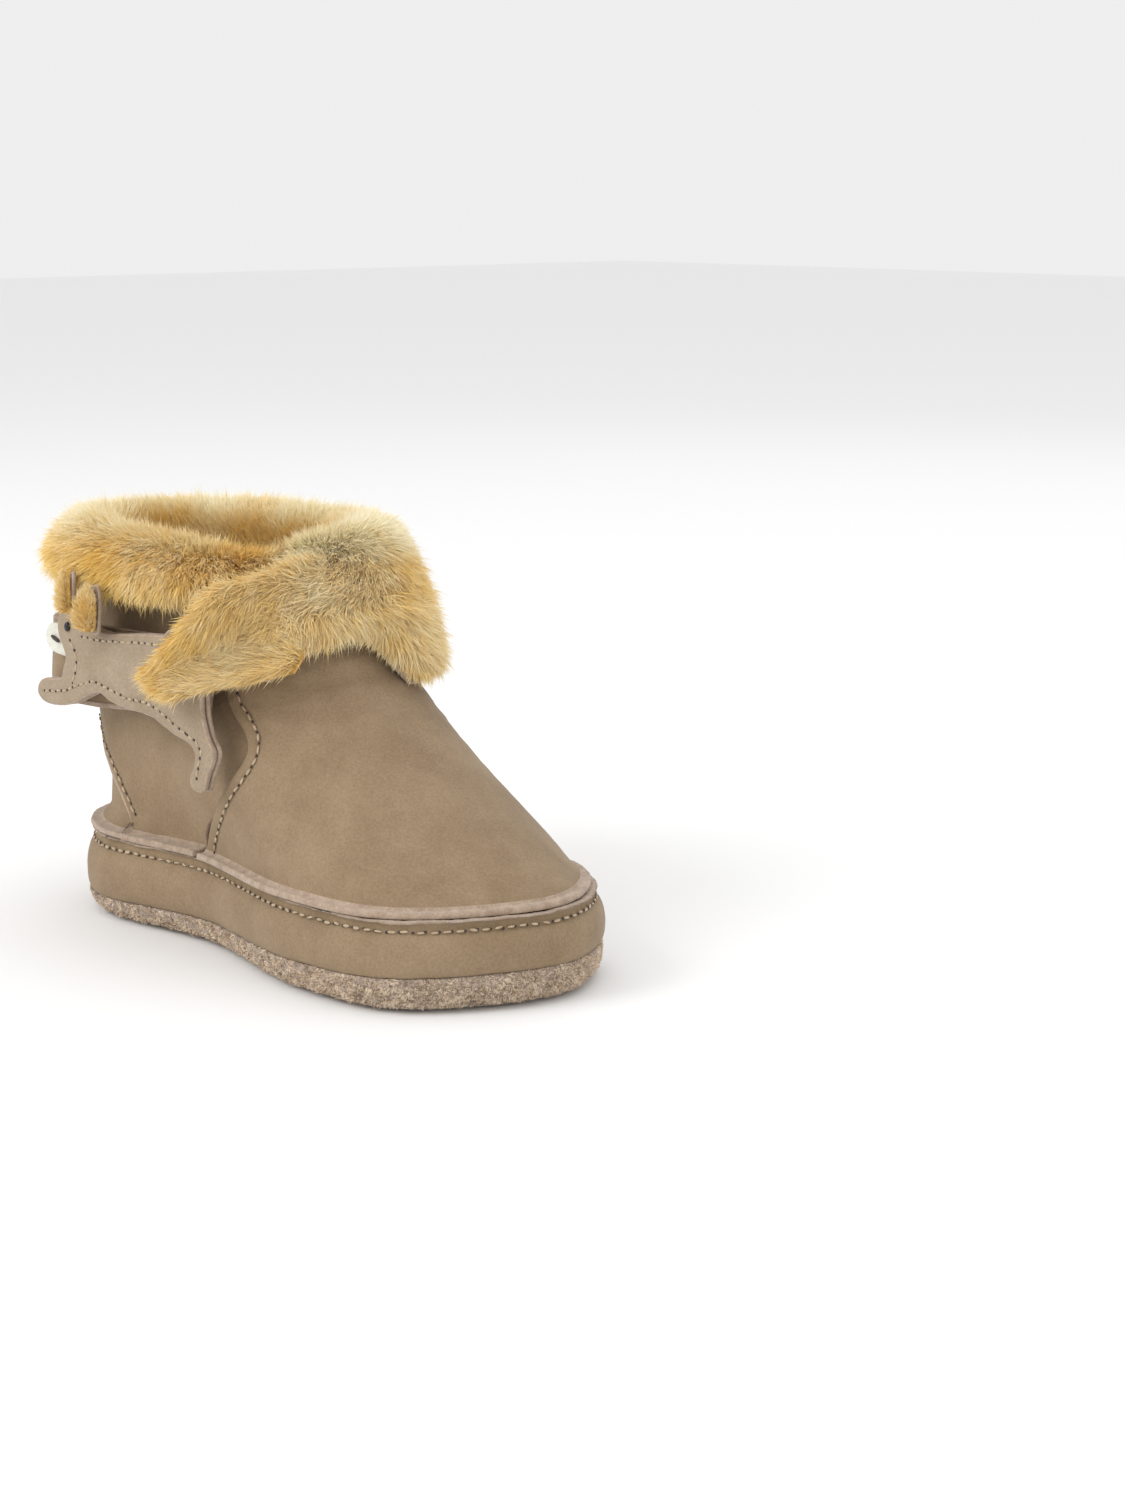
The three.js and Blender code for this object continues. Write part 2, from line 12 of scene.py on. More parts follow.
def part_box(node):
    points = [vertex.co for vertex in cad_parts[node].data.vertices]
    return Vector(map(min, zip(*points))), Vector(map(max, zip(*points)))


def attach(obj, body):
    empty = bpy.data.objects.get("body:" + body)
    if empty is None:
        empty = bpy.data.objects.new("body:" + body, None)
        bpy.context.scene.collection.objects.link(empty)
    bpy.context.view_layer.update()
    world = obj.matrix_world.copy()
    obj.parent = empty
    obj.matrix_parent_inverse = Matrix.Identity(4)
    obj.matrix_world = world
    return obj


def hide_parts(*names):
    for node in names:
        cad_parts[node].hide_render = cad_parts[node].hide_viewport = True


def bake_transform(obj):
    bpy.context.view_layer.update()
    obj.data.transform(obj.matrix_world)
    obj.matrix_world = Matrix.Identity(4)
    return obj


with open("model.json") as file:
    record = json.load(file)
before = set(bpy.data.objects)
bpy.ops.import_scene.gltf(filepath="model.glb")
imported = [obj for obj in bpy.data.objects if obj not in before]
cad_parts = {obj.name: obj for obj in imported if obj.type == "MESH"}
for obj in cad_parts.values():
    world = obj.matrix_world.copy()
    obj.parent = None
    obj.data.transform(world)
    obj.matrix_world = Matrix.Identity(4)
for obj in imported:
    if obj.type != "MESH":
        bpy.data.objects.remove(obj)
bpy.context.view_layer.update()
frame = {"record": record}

# the frame's origin against the working sizes, from two pieces whose places are known
solePoint = 1.7  # rearmost x of the sole
strapPlane = -27.5  # outer face of the strap
shift = np.array([
    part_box("outsole")[0].x * 1000 - solePoint,
    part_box("strap_face")[0].y * 1000 - strapPlane,
    0.0,
])

# camera, light and floor
view = {
    "place": (480.4, -328.51, 142.29),  # working millimetres
    "azimuth": 47.017,  # degrees
    "elevation": 11.331,
    "lens": 69.26,
    "nearest": 0.01,  # metres, like everything in studio
}
studio = {
    "floorColour": (0.93, 0.93, 0.93),
    "floorRoughness": 0.9,
    "floorGloss": 0.1,
    "floorSide": 6,
    "lampAim": (0, 0, 0.04),
    "worldColour": (1, 1, 1),
    "worldStrength": 0.86,
    # name: place, side of the square, watts
    "lamps": {
        "key_lamp": ((-0.25, -0.75, 0.65), 0.5, 3.3),
        "top_lamp": ((0.1, 0.1, 1.0), 0.9, 1.5),
        "front_lamp": ((0.8, -0.25, 0.4), 0.7, 0.5),
        "back_lamp": ((-0.3, 0.8, 0.6), 0.7, 0.5),
    },
}


def setStage():
    scene = bpy.context.scene
    lens = bpy.data.cameras.new("camera")
    lens.lens = view["lens"]
    lens.clip_start = view["nearest"]
    camera = bpy.data.objects.new("camera", lens)
    camera.location = (np.array(view["place"]) + shift) / 1000
    camera.rotation_euler = (math.radians(90 - view["elevation"]), 0, math.radians(view["azimuth"]))
    scene.collection.objects.link(camera)
    scene.camera = camera
    scene.view_settings.view_transform = "Standard"

    world = bpy.data.worlds.new("studio")
    world.use_nodes = True
    air = world.node_tree.nodes["Background"]
    air.inputs["Color"].default_value = (*studio["worldColour"], 1)
    air.inputs["Strength"].default_value = studio["worldStrength"]
    scene.world = world

    for name, (place, side, power) in studio["lamps"].items():
        light = bpy.data.lights.new(name, "AREA")
        light.size = side
        light.energy = power
        lamp = bpy.data.objects.new(name, light)
        lamp.location = place
        aim = Vector(studio["lampAim"]) - Vector(place)
        lamp.rotation_euler = aim.to_track_quat("-Z", "Y").to_euler()
        scene.collection.objects.link(lamp)

    half = studio["floorSide"] / 2
    mesh = bpy.data.meshes.new("floor")
    corners = [(-half, -half, 0), (half, -half, 0), (half, half, 0), (-half, half, 0)]
    mesh.from_pydata(corners, [], [(0, 1, 2, 3)])
    floor = bpy.data.objects.new("floor", mesh)
    paint = bpy.data.materials.new("floor_paint")
    paint.use_nodes = True
    shader = paint.node_tree.nodes["Principled BSDF"]
    shader.inputs["Base Color"].default_value = (*studio["floorColour"], 1)
    shader.inputs["Roughness"].default_value = studio["floorRoughness"]
    shader.inputs["Specular IOR Level"].default_value = studio["floorGloss"]
    mesh.materials.append(paint)
    scene.collection.objects.link(floor)
    print("stage: camera, lamps and floor")


setStage()


# finishes
def newFinish(name, look):
    finish = bpy.data.materials.new(name)
    finish.use_nodes = True
    shader = finish.node_tree.nodes["Principled BSDF"]
    shader.inputs["Roughness"].default_value = look["roughness"]
    shader.inputs["Sheen Weight"].default_value = look["sheen"]
    shader.inputs["Sheen Roughness"].default_value = look["sheenRoughness"]
    shader.inputs["Specular IOR Level"].default_value = look["specular"]
    return finish, finish.node_tree.nodes, finish.node_tree.links, shader


def noiseNode(nodes, links, place, grain, detail, rough):
    # grain is the size of one blotch in millimetres
    node = nodes.new("ShaderNodeTexNoise")
    node.inputs["Scale"].default_value = 1000 / grain
    node.inputs["Detail"].default_value = detail
    node.inputs["Roughness"].default_value = rough
    links.new(place, node.inputs["Vector"])
    return node.outputs["Fac"]


def rampNode(nodes, links, source, stops):
    node = nodes.new("ShaderNodeValToRGB")
    while len(node.color_ramp.elements) < len(stops):
        node.color_ramp.elements.new(0.5)
    for element, (at, colour) in zip(node.color_ramp.elements, stops):
        element.position = at
        element.color = (*colour, 1)
    links.new(source, node.inputs["Fac"])
    return node.outputs["Color"]


def mixNode(nodes, links, kind, share, first, second):
    node = nodes.new("ShaderNodeMix")
    node.data_type = "RGBA"
    node.blend_type = kind
    if isinstance(share, float):
        node.inputs[0].default_value = share
    else:
        links.new(share, node.inputs[0])
    links.new(first, node.inputs[6])
    links.new(second, node.inputs[7])
    return node.outputs[2]


def bumpChain(nodes, links, shader, layers):
    # layers: (height output, strength, depth in millimetres)
    last = None
    for height, strength, depth in layers:
        bump = nodes.new("ShaderNodeBump")
        bump.inputs["Strength"].default_value = strength
        bump.inputs["Distance"].default_value = depth / 1000
        links.new(height, bump.inputs["Height"])
        if last:
            links.new(last, bump.inputs["Normal"])
        last = bump.outputs["Normal"]
    links.new(last, shader.inputs["Normal"])


def nappedFinish(name, look):
    # leather and suede: big cloudy patches, small freckles, and a nap that catches light
    finish, nodes, links, shader = newFinish(name, look)
    place = nodes.new("ShaderNodeTexCoord").outputs["Object"]
    cloud = noiseNode(nodes, links, place, look["cloud"], detail=3.0, rough=0.6)
    freckle = noiseNode(nodes, links, place, look["freckle"], detail=4.0, rough=0.7)
    (cloudLow, cloudHigh), (speckLow, speckHigh) = look["cloudRange"], look["speckRange"]
    body = rampNode(nodes, links, cloud, [(cloudLow, look["deep"]), (cloudHigh, look["pale"])])
    speck = rampNode(nodes, links, freckle, [(speckLow, look["speckDark"]), (speckHigh, look["speckLight"])])
    links.new(mixNode(nodes, links, "MULTIPLY", look["speck"], body, speck), shader.inputs["Base Color"])
    grain = noiseNode(nodes, links, place, look["grain"], detail=2.0, rough=0.5)
    rough = noiseNode(nodes, links, place, look["nap"], detail=3.0, rough=0.7)
    bumpChain(nodes, links, shader, [
        (grain, look["grainStrength"], look["grainDepth"]),
        (rough, look["napStrength"], look["napDepth"]),
    ])
    return finish


nubuckLook = {
    # colours of the patches and how far the noise is spread between them
    "deep": (0.268, 0.188, 0.112), "pale": (0.325, 0.236, 0.146), "cloudRange": (0.32, 0.68),
    # freckles darken and lighten the patches, speck is how much
    "speck": 0.55, "speckDark": (0.72, 0.7, 0.68), "speckLight": (1.25, 1.25, 1.25),
    "speckRange": (0.3, 0.7),
    "roughness": 0.82, "sheen": 0.12, "sheenRoughness": 0.45, "specular": 0.15,
    # sizes and depths in millimetres
    "cloud": 9, "freckle": 0.5, "grain": 0.75, "grainStrength": 0.35, "grainDepth": 0.12,
    "nap": 0.2, "napStrength": 0.3, "napDepth": 0.05,
}
nubuck = nappedFinish("nubuck_taupe", nubuckLook)
strapLeather = nappedFinish("nubuck_strap", {
    **nubuckLook, "deep": (0.33, 0.255, 0.175), "pale": (0.40, 0.315, 0.228),
})
fleshSide = nappedFinish("leather_flesh_side", {
    **nubuckLook, "deep": (0.30, 0.225, 0.16), "pale": (0.38, 0.295, 0.215),
    "grain": 0.4, "grainDepth": 0.2,
})
rawEdge = nappedFinish("raw_leather_edge", {
    **nubuckLook, "deep": (0.36, 0.265, 0.195), "pale": (0.50, 0.39, 0.30), "roughness": 0.95, "sheen": 0.3,
    "cloud": 2.2, "freckle": 0.35, "speck": 0.7, "grain": 0.5, "grainStrength": 0.6, "grainDepth": 0.2,
})
suedeLook = {
    **nubuckLook, "roughness": 0.97, "sheen": 0.3, "cloud": 1.6, "freckle": 0.55, "grain": 0.8,
    "grainStrength": 0.9, "grainDepth": 0.5, "nap": 0.3, "napStrength": 0.6, "napDepth": 0.15,
}
soleSuede = nappedFinish("sole_suede", {
    **suedeLook, "deep": (0.33, 0.25, 0.19), "pale": (0.47, 0.375, 0.30), "speck": 1.0,
    "speckDark": (0.35, 0.33, 0.3), "speckLight": (1.5, 1.5, 1.5),
})
# the nap's own finish, about twice as pale as the sole suede: partly the nap's lighter look, partly painted
# light that offsets the shade among the nap fibres
soleNapLightened = nappedFinish("suede_nap_lightened", {
    **suedeLook, "deep": (0.70, 0.56, 0.42), "pale": (0.92, 0.77, 0.61), "speck": 0.8,
    "speckDark": (0.74, 0.71, 0.67), "speckLight": (1.15, 1.15, 1.15),
})
muzzleLeather = nappedFinish("muzzle_white_leather", {
    **nubuckLook, "deep": (0.68, 0.67, 0.58), "pale": (0.78, 0.77, 0.69), "roughness": 0.6, "specular": 0.4,
})
pileBacking = nappedFinish("pile_backing", {
    **nubuckLook, "deep": (0.62, 0.32, 0.05), "pale": (0.82, 0.52, 0.15), "roughness": 1.0, "sheen": 0.3,
    "cloud": 5, "freckle": 0.6, "grain": 0.7, "grainStrength": 0.9, "grainDepth": 0.6,
})
foamFinish = nappedFinish("midsole_foam", {
    **nubuckLook, "deep": (0.62, 0.58, 0.5), "pale": (0.72, 0.69, 0.62), "cloud": 3, "grain": 0.5,
    "grainStrength": 0.8, "grainDepth": 0.3,
})
hookTape = nappedFinish("hook_and_loop_tape", {
    **nubuckLook, "deep": (0.27, 0.21, 0.16), "pale": (0.34, 0.27, 0.21), "cloud": 1.2, "freckle": 0.3,
    "grain": 0.4, "grainStrength": 0.9, "grainDepth": 0.2,
})
threadLight = nappedFinish("thread_beige", {
    **nubuckLook, "deep": (0.42, 0.32, 0.21), "pale": (0.57, 0.45, 0.31), "roughness": 0.55, "cloud": 0.8,
    "freckle": 0.25, "grain": 0.3, "grainStrength": 0.5, "grainDepth": 0.06, "specular": 0.4,
})
# dark thread for the nose stitch; on the stitch rows the same dark finish goes on the needle holes as
# painted shade
darkThreadAndHoleShade = nappedFinish("dark_thread_and_hole_shade", {
    **nubuckLook, "deep": (0.035, 0.022, 0.015), "pale": (0.06, 0.04, 0.028), "roughness": 0.5,
    "specular": 0.4, "cloud": 0.6, "freckle": 0.3, "grain": 0.3,
})
eyeFinish = nappedFinish("eye_black", {
    **nubuckLook, "deep": (0.008, 0.007, 0.007), "pale": (0.014, 0.012, 0.012), "roughness": 0.22,
    "sheen": 0.0, "specular": 0.5, "grainStrength": 0.1, "napStrength": 0.05,
})

plushLook = {
    # along each hair, root to tip, for the deepest and for the palest tufts
    "deepHair": [(0.0, (0.62, 0.35, 0.045)), (0.5, (0.84, 0.53, 0.10)), (1.0, (0.93, 0.67, 0.20))],
    "paleHair": [(0.0, (0.95, 0.72, 0.31)), (0.5, (0.99, 0.87, 0.54)), (1.0, (0.99, 0.94, 0.78))],
    "roughness": 0.75, "sheen": 0.25, "sheenRoughness": 0.4, "specular": 0.25,
}


def plushFinish():
    # the hairs' own map holds tone across and the way along the hair, so the colour goes with each hair
    finish, nodes, links, shader = newFinish("plush_hair", plushLook)
    hairMap = nodes.new("ShaderNodeUVMap")
    hairMap.uv_map = "OFBake"
    split = nodes.new("ShaderNodeSeparateXYZ")
    links.new(hairMap.outputs["UV"], split.inputs["Vector"])
    deep = rampNode(nodes, links, split.outputs["Y"], plushLook["deepHair"])
    pale = rampNode(nodes, links, split.outputs["Y"], plushLook["paleHair"])
    links.new(mixNode(nodes, links, "MIX", split.outputs["X"], deep, pale), shader.inputs["Base Color"])
    return finish


plush = plushFinish()
print("stage: finishes")

# the last: sole outline and the upper's sections, shared by every panel
last = {
    "heel": 1.5, "toe": 125, "ballHalfWidth": 28.5, "soleFloor": 2.1, "rimHeel": 3.9, "rimToe": 6.8,
    "seam": 17.4, "top": 73, "leather": 1.2, "lip": 1.9, "lipTop": 17.8, "ovalPower": 2.3,
    # from the heel round the outer side to the toe and back
    "outline": [
        (1.5, 0), (6.2, -14), (20, -22.8), (52, -21.4), (88, -28.5), (112, -24.1),
        (125, 4.2), (113, 23.2), (90, 28.5), (54, 22.1), (20, 23), (6.2, 14),
    ],
    # height, back, front, half width, how far the section is rounded
    "sections": [
        (10, 1.8, 121.6, 26.2, 0), (17.4, 1.6, 121, 26, 0), (21, 2, 117, 25.6, 0.1), (26, 2, 110.5, 25, 0.3),
        (32, 0.8, 102, 24.2, 0.5), (40, -0.6, 91, 23, 0.7), (48, -0.2, 81.5, 22, 0.9),
        (56, 0.5, 74.5, 21.2, 1),
        (66, 0.3, 69.5, 20.6, 1), (80, 0, 66.5, 20.4, 1), (94, -0.3, 65.5, 20.4, 1),
    ],
}
soleMiddle = (last["heel"] + last["toe"]) / 2
soleHalfLength = (last["toe"] - last["heel"]) / 2


def closedCurve(points, turns):
    # centripetal curve through a ring of points; turns run from 0 to 1 once round
    ring = np.array(points, float)
    count = len(ring)
    at = (np.asarray(turns, float) % 1) * count
    first = np.floor(at).astype(int)
    w = (at - first)[:, None]
    p0, p1, p2, p3 = (ring[(first + k) % count] for k in (-1, 0, 1, 2))
    gaps = [np.sqrt(np.linalg.norm(b - a, axis=1))[:, None] for a, b in ((p0, p1), (p1, p2), (p2, p3))]
    t1 = ((p1 - p0) / gaps[0] - (p2 - p0) / (gaps[0] + gaps[1]) + (p2 - p1) / gaps[1]) * gaps[1]
    t2 = ((p2 - p1) / gaps[1] - (p3 - p1) / (gaps[1] + gaps[2]) + (p3 - p2) / gaps[2]) * gaps[1]
    return p1 + t1 * w + (-3 * p1 + 3 * p2 - 2 * t1 - t2) * w**2 + (2 * p1 - 2 * p2 + t1 + t2) * w**3


def smoothTable(table, keys):
    # smooth value of each column of a table at the keys
    rows = np.array(table, float)
    at = np.clip(np.asarray(keys, float), rows[0, 0], rows[-1, 0])
    i = np.clip(np.searchsorted(rows[:, 0], at, "right") - 1, 0, len(rows) - 2)
    low, high = np.maximum(np.arange(len(rows)) - 1, 0), np.minimum(np.arange(len(rows)) + 1, len(rows) - 1)
    slopes = (rows[high, 1:] - rows[low, 1:]) / (rows[high, :1] - rows[low, :1])
    span = (rows[i + 1, 0] - rows[i, 0])[..., None]
    t = (at - rows[i, 0])[..., None] / span
    return (
        (1 + 2 * t) * (1 - t) ** 2 * rows[i, 1:] + t * (1 - t) ** 2 * span * slopes[i]
        + t * t * (3 - 2 * t) * rows[i + 1, 1:] + t * t * (t - 1) * span * slopes[i + 1]
    )


def lineTable(table, keys):
    rows = np.array(table, float)
    return np.interp(keys, rows[:, 0], rows[:, 1])


def smoothColumn(table, keys):
    return smoothTable(table, keys)[..., 0]


def ease(low, high, value):
    t = np.clip((np.asarray(value, float) - low) / (high - low), 0, 1)
    return t * t * (3 - 2 * t)


# the outline is looked up often, so it is sampled once
turnTable = np.arange(6001) / 6000
outlineTable = closedCurve(last["outline"], turnTable)


def outlinePoint(s):
    turn = np.asarray(s, float) % 1
    return np.stack([np.interp(turn, turnTable, outlineTable[:, k]) for k in (0, 1)], -1)


def outlineAt(s, inset, z):
    # a point on the sole's outline moved inward, at height z; s counts turns from the heel
    s, inset, z = np.broadcast_arrays(*(np.asarray(v, float) for v in (s, inset, z)))
    near = 0.0015  # turns to either side
    ahead = outlinePoint(s + near) - outlinePoint(s - near)
    ahead /= np.linalg.norm(ahead, axis=-1, keepdims=True)
    point = outlinePoint(s)
    return np.stack([point[..., 0] - ahead[..., 1] * inset, point[..., 1] + ahead[..., 0] * inset, z], -1)


def surface(s, z):
    # the last's own surface: the section at height z, rounder the higher it is
    point = outlinePoint(s)
    back, front, halfWidth, oval = np.moveaxis(smoothTable(last["sections"], z), -1, 0)
    along = (point[..., 0] - soleMiddle) / soleHalfLength
    across = point[..., 1] / last["ballHalfWidth"]
    power = last["ovalPower"]
    radius = (np.abs(along) ** power + np.abs(across) ** power) ** (1 / power)
    pull = 1 - oval + oval / radius
    x = (back + front) / 2 + (front - back) / 2 * along * pull
    return np.stack([x, halfWidth * across * pull, np.broadcast_to(z, x.shape)], -1)


def skinNormal(s, z):
    turn, height = 0.002, 0.5  # how far to look each way
    around = surface(s + turn, z) - surface(s - turn, z)
    up = surface(s, z + height) - surface(s, z - height)
    normal = np.cross(around, up)
    return normal / np.linalg.norm(normal, axis=-1, keepdims=True)


def skin(s, z, offset):
    s, z, offset = np.broadcast_arrays(*(np.asarray(v, float) for v in (s, z, offset)))
    return surface(s, z) + skinNormal(s, z) * offset[..., None]


def stationAt(x, z, outerSide):
    # the turn where the surface reaches x at height z, found by halving
    x, z = np.broadcast_arrays(np.asarray(x, float), np.asarray(z, float))
    low = np.full(x.shape, 0.0 if outerSide else 1.0)
    high = np.full(x.shape, 0.5)
    for _ in range(26):
        middle = (low + high) / 2
        short = surface(middle, z)[..., 0] < x
        low, high = np.where(short, middle, low), np.where(short, high, middle)
    return (low + high) / 2


# mesh helpers
def unit(v):
    return v / np.maximum(np.linalg.norm(v, axis=-1, keepdims=True), 1e-9)


def cloudy(points, size, seed=0.0):
    # smooth noise from -1 to 1 at points in millimetres, blotches of that size; seeds read other places
    flat = np.asarray(points, float).reshape(-1, 3) / size + seed * 7.31
    return np.array([noise.noise(Vector(p)) for p in flat]).reshape(np.shape(points)[:-1])


def putMesh(name, points, faces, finishes, faceFinish=None, body="bootie", slot=None, replaces=()):
    mesh = bpy.data.meshes.new(name)
    metres = (np.asarray(points, float).reshape(-1, 3) + shift) / 1000
    mesh.from_pydata(metres.tolist(), [], [list(map(int, f)) for f in faces])
    for finish in finishes:
        mesh.materials.append(finish)
    if faceFinish is not None:
        mesh.polygons.foreach_set("material_index", np.asarray(faceFinish, np.int32))
    mesh.polygons.foreach_set("use_smooth", np.full(len(mesh.polygons), True))
    mesh.update()
    made = bpy.data.objects.new(name, mesh)
    bpy.context.scene.collection.objects.link(made)
    if body:
        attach(made, body)
    if replaces:
        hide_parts(*replaces)
    return made


def gridNormals(grid):
    return unit(np.cross(np.gradient(grid, axis=1), np.gradient(grid, axis=0)))


def gridFaces(index):
    return np.stack([index[:-1, :-1], index[:-1, 1:], index[1:, 1:], index[1:, :-1]], -1).reshape(-1, 4)


def ringFaces(loops, count):
    index = np.arange(loops * count).reshape(loops, count)
    return gridFaces(np.concatenate([index, index[:, :1]], 1))


def borderOf(index):
    # the outermost numbers of a grid, once round
    return np.concatenate([index[0], index[1:, -1], index[-1, -2::-1], index[-2:0:-1, 0]])


edgeLook = {
    # loops across the edge, how far it bulges (share of the thickness), and its fuzz: fine, then wavy
    "shares": (0.22, 0.5, 0.78), "bulge": 0.16, "fuzz": 0.12, "fibre": 0.7, "wave": 2.5, "waveShare": 0.6,
}


def sheetMesh(name, outer, thickness, rawRows=0, finishes=None, **rest):
    # a leather sheet: face, flesh side, and a rounded fuzzy raw edge all round
    rows, columns = outer.shape[:2]
    normals = gridNormals(outer)
    inner = outer - normals * thickness
    half = rows * columns
    index = np.arange(half).reshape(rows, columns)
    rim = borderOf(index)
    r, c = np.divmod(rim, columns)
    beside = index[np.clip(r, 1, rows - 2), np.clip(c, 1, columns - 2)]
    flatOuter, flatInner = outer.reshape(-1, 3), inner.reshape(-1, 3)
    away = unit(flatOuter[rim] - flatOuter[beside])
    points = [flatOuter, flatInner]
    loops = [rim]
    for step, share in enumerate(edgeLook["shares"]):
        bulge = edgeLook["bulge"] * thickness * math.sin(math.pi * share)
        middle = flatOuter[rim] * (1 - share) + flatInner[rim] * share
        fuzz = edgeLook["fuzz"] * cloudy(middle, edgeLook["fibre"], 3 + step)
        fuzz += edgeLook["waveShare"] * edgeLook["fuzz"] * cloudy(middle, edgeLook["wave"], 5)
        points.append(middle + away * (bulge + fuzz)[:, None])
        loops.append(2 * half + step * len(rim) + np.arange(len(rim)))
    loops.append(half + rim)
    faces = [gridFaces(index), gridFaces(index + half)[:, ::-1]]
    kinds = [np.zeros((rows - 1) * (columns - 1)), np.ones((rows - 1) * (columns - 1))]
    kinds[0].reshape(rows - 1, columns - 1)[:rawRows] = 2
    for a, b in zip(loops, loops[1:]):
        faces.append(np.stack([a, b, np.roll(b, -1), np.roll(a, -1)], 1))
        kinds.append(np.full(len(rim), 2))
    points, faces, kinds = np.concatenate(points), np.concatenate(faces), np.concatenate(kinds)
    return putMesh(name, points, faces, finishes or [nubuck, fleshSide, rawEdge], kinds, **rest)


def pathPoints(points, steps):
    # even steps along a line of points
    line = np.asarray(points, float)
    far = np.concatenate([[0], np.cumsum(np.linalg.norm(np.diff(line, axis=0), axis=1))])
    at = np.linspace(0, far[-1], steps)
    return np.stack([np.interp(at, far, line[:, k]) for k in range(3)], 1), far[-1]


def nearLine(points, line):
    # distance of each point from a line of close points
    tree = KDTree(len(line))
    for i, p in enumerate(line):
        tree.insert(Vector(p), i)
    tree.balance()
    flat = np.asarray(points, float).reshape(-1, 3)
    return np.array([tree.find(Vector(p))[2] for p in flat]).reshape(np.shape(points)[:-1])


def pucker(grid, lines, depth=0.28, width=0.75):
    # leather pulls in along each row of stitches
    normals = gridNormals(grid)
    for line in lines:
        grid = grid - normals * (depth * np.exp(-((nearLine(grid, line) / width) ** 2)))[..., None]
    return grid


def ballTemplate(sides=8, rings=5):
    # a ball of radius 1 with its poles on x
    angles = np.linspace(0, math.pi, rings + 2)[1:-1]
    turns = np.arange(sides) / sides * 2 * math.pi
    points = [(-1, 0, 0)]
    for a in angles:
        points += [(-math.cos(a), math.sin(a) * math.cos(t), math.sin(a) * math.sin(t)) for t in turns]
    points.append((1, 0, 0))
    faces = [(0, 1 + (k + 1) % sides, 1 + k) for k in range(sides)]
    for ring in range(rings - 1):
        base = 1 + ring * sides
        for k in range(sides):
            n = (k + 1) % sides
            faces.append((base + k, base + n, base + sides + n, base + sides + k))
    base = 1 + (rings - 1) * sides
    faces += [(base + k, base + (k + 1) % sides, len(points) - 1) for k in range(sides)]
    return np.array(points), faces


ball, ballFaces = ballTemplate()
stitchLook = {
    "pitch": 2.3, "thread": 0.64, "radius": 0.25, "flat": 0.85, "lift": 0.05, "uneven": 0.15,
    "hole": 0.26, "holeLong": 1.15, "holeHigh": 0.16, "sink": 0.02, "jitter": 0.05, "tilt": 0.12,
    "steps": 400, "reach": 6,  # steps along the line, and how many to look ahead and back
}


def sewRow(name, line, normals, body="bootie", look=stitchLook, slot="nubuck"):
    # pale thread along a line on the surface; the needle holes between the stitches are dark blobs, painted
    # shade for the holes
    rng = np.random.default_rng(len(name) * 17 + 5)
    steps, reach = look["steps"], look["reach"]
    path, length = pathPoints(line, steps)
    fine, coarse = np.linspace(0, 1, steps), np.linspace(0, 1, len(normals))
    facing = unit(np.stack([np.interp(fine, coarse, normals[:, k]) for k in range(3)], 1))
    count = max(2, round(length / look["pitch"]))
    points, faces, kinds = [], [], []
    for k in range(2 * count + 1):
        at = k / (2 * count)
        i = min(int(at * (steps - 1)), steps - 2)
        centre, n = path[i], facing[i]
        ahead = unit(path[min(i + reach, steps - 1)] - path[max(i - reach, 0)])
        side = unit(np.cross(n, ahead))
        n = np.cross(ahead, side)
        hole = k % 2 == 0
        long = look["hole"] * look["holeLong"] if hole else look["pitch"] * look["thread"] / 2
        wide = look["hole"] if hole else look["radius"] * (1 + look["uneven"] * rng.standard_normal())
        high = look["holeHigh"] if hole else look["radius"] * look["flat"]
        wobble = look["jitter"] * rng.standard_normal(3)
        tilt = look["tilt"] * rng.standard_normal()
        turned = ahead * math.cos(tilt) + side * math.sin(tilt)
        side = side * math.cos(tilt) - ahead * math.sin(tilt)
        base = len(points) * len(ball)
        points.append(centre + wobble + n * (look["sink"] if hole else look["lift"])
                      + ball[:, :1] * turned * long + ball[:, 1:2] * side * wide + ball[:, 2:] * n * high)
        faces += [[base + j for j in f] for f in ballFaces]
        # needle holes take the dark finish: painted shade where the thread goes into the leather
        kinds += [1 if hole else 0] * len(ballFaces)
    finishes = [threadLight, darkThreadAndHoleShade]
    return putMesh(name, np.concatenate(points), faces, finishes, kinds, body=body, slot=slot)


# suede sole
soleLook = {
    "columns": 170, "across": 64,
    # rings of (inset, height) under the sole, out to where the edge turns up
    "under": [(6, 0), (5.2, 0.02), (4.4, 0.1), (3.6, 0.28), (2.8, 0.62), (2.0, 1.1), (1.3, 1.75),
              (0.7, 2.5)],
    "sideLow": 2.5, "sideBelowRim": 0.4, "sideRings": 5,
    "edgeRough": 0.46, "faceRough": 0.12, "grit": 0.9, "clump": 2.6, "clumpShare": 0.6,
    # the pressed ring
    "ringRadius": 13, "ringX": 31, "ringY": 0, "ringDepth": 0.6, "ringWidth": 0.7,
}
foamLook = {
    "rings": [(5.6, 2.4), (4.4, 2.7), (3.6, 3.6), (3.4, 4.6), (3.5, 5.8), (4.2, 6.5)],
    "bottom": 2.4, "top": 6.6, "across": 24, "rough": 0.06, "grain": 1.4,
}
insoleLook = {
    "rings": [(4.4, 6.95), (3.6, 7.4), (3.4, 8.2), (3.5, 9.0), (4.3, 9.6)],
    "bottom": 6.95, "top": 9.7, "crown": 0.5, "across": 30, "rough": 0.2, "grain": 3,
}

# stations so that each column has a point on the outer and on the inner side
toeTurn = float(turnTable[np.argmax(outlineTable[:, 0])])
soleSteps = (1 - np.cos(np.linspace(0, math.pi, soleLook["columns"] + 1))) / 2


def stationsOver(fractions):
    outerSide = fractions * toeTurn
    innerSide = 1 - fractions * (1 - toeTurn)
    return outerSide, innerSide


def rimHeight(s):
    share = (outlinePoint(s)[..., 0] - last["heel"]) / (last["toe"] - last["heel"])
    return last["rimHeel"] + (last["rimToe"] - last["rimHeel"]) * share


outerStations, innerStations = stationsOver(soleSteps)
soleTurns = np.concatenate([outerStations, innerStations[-2:0:-1]])


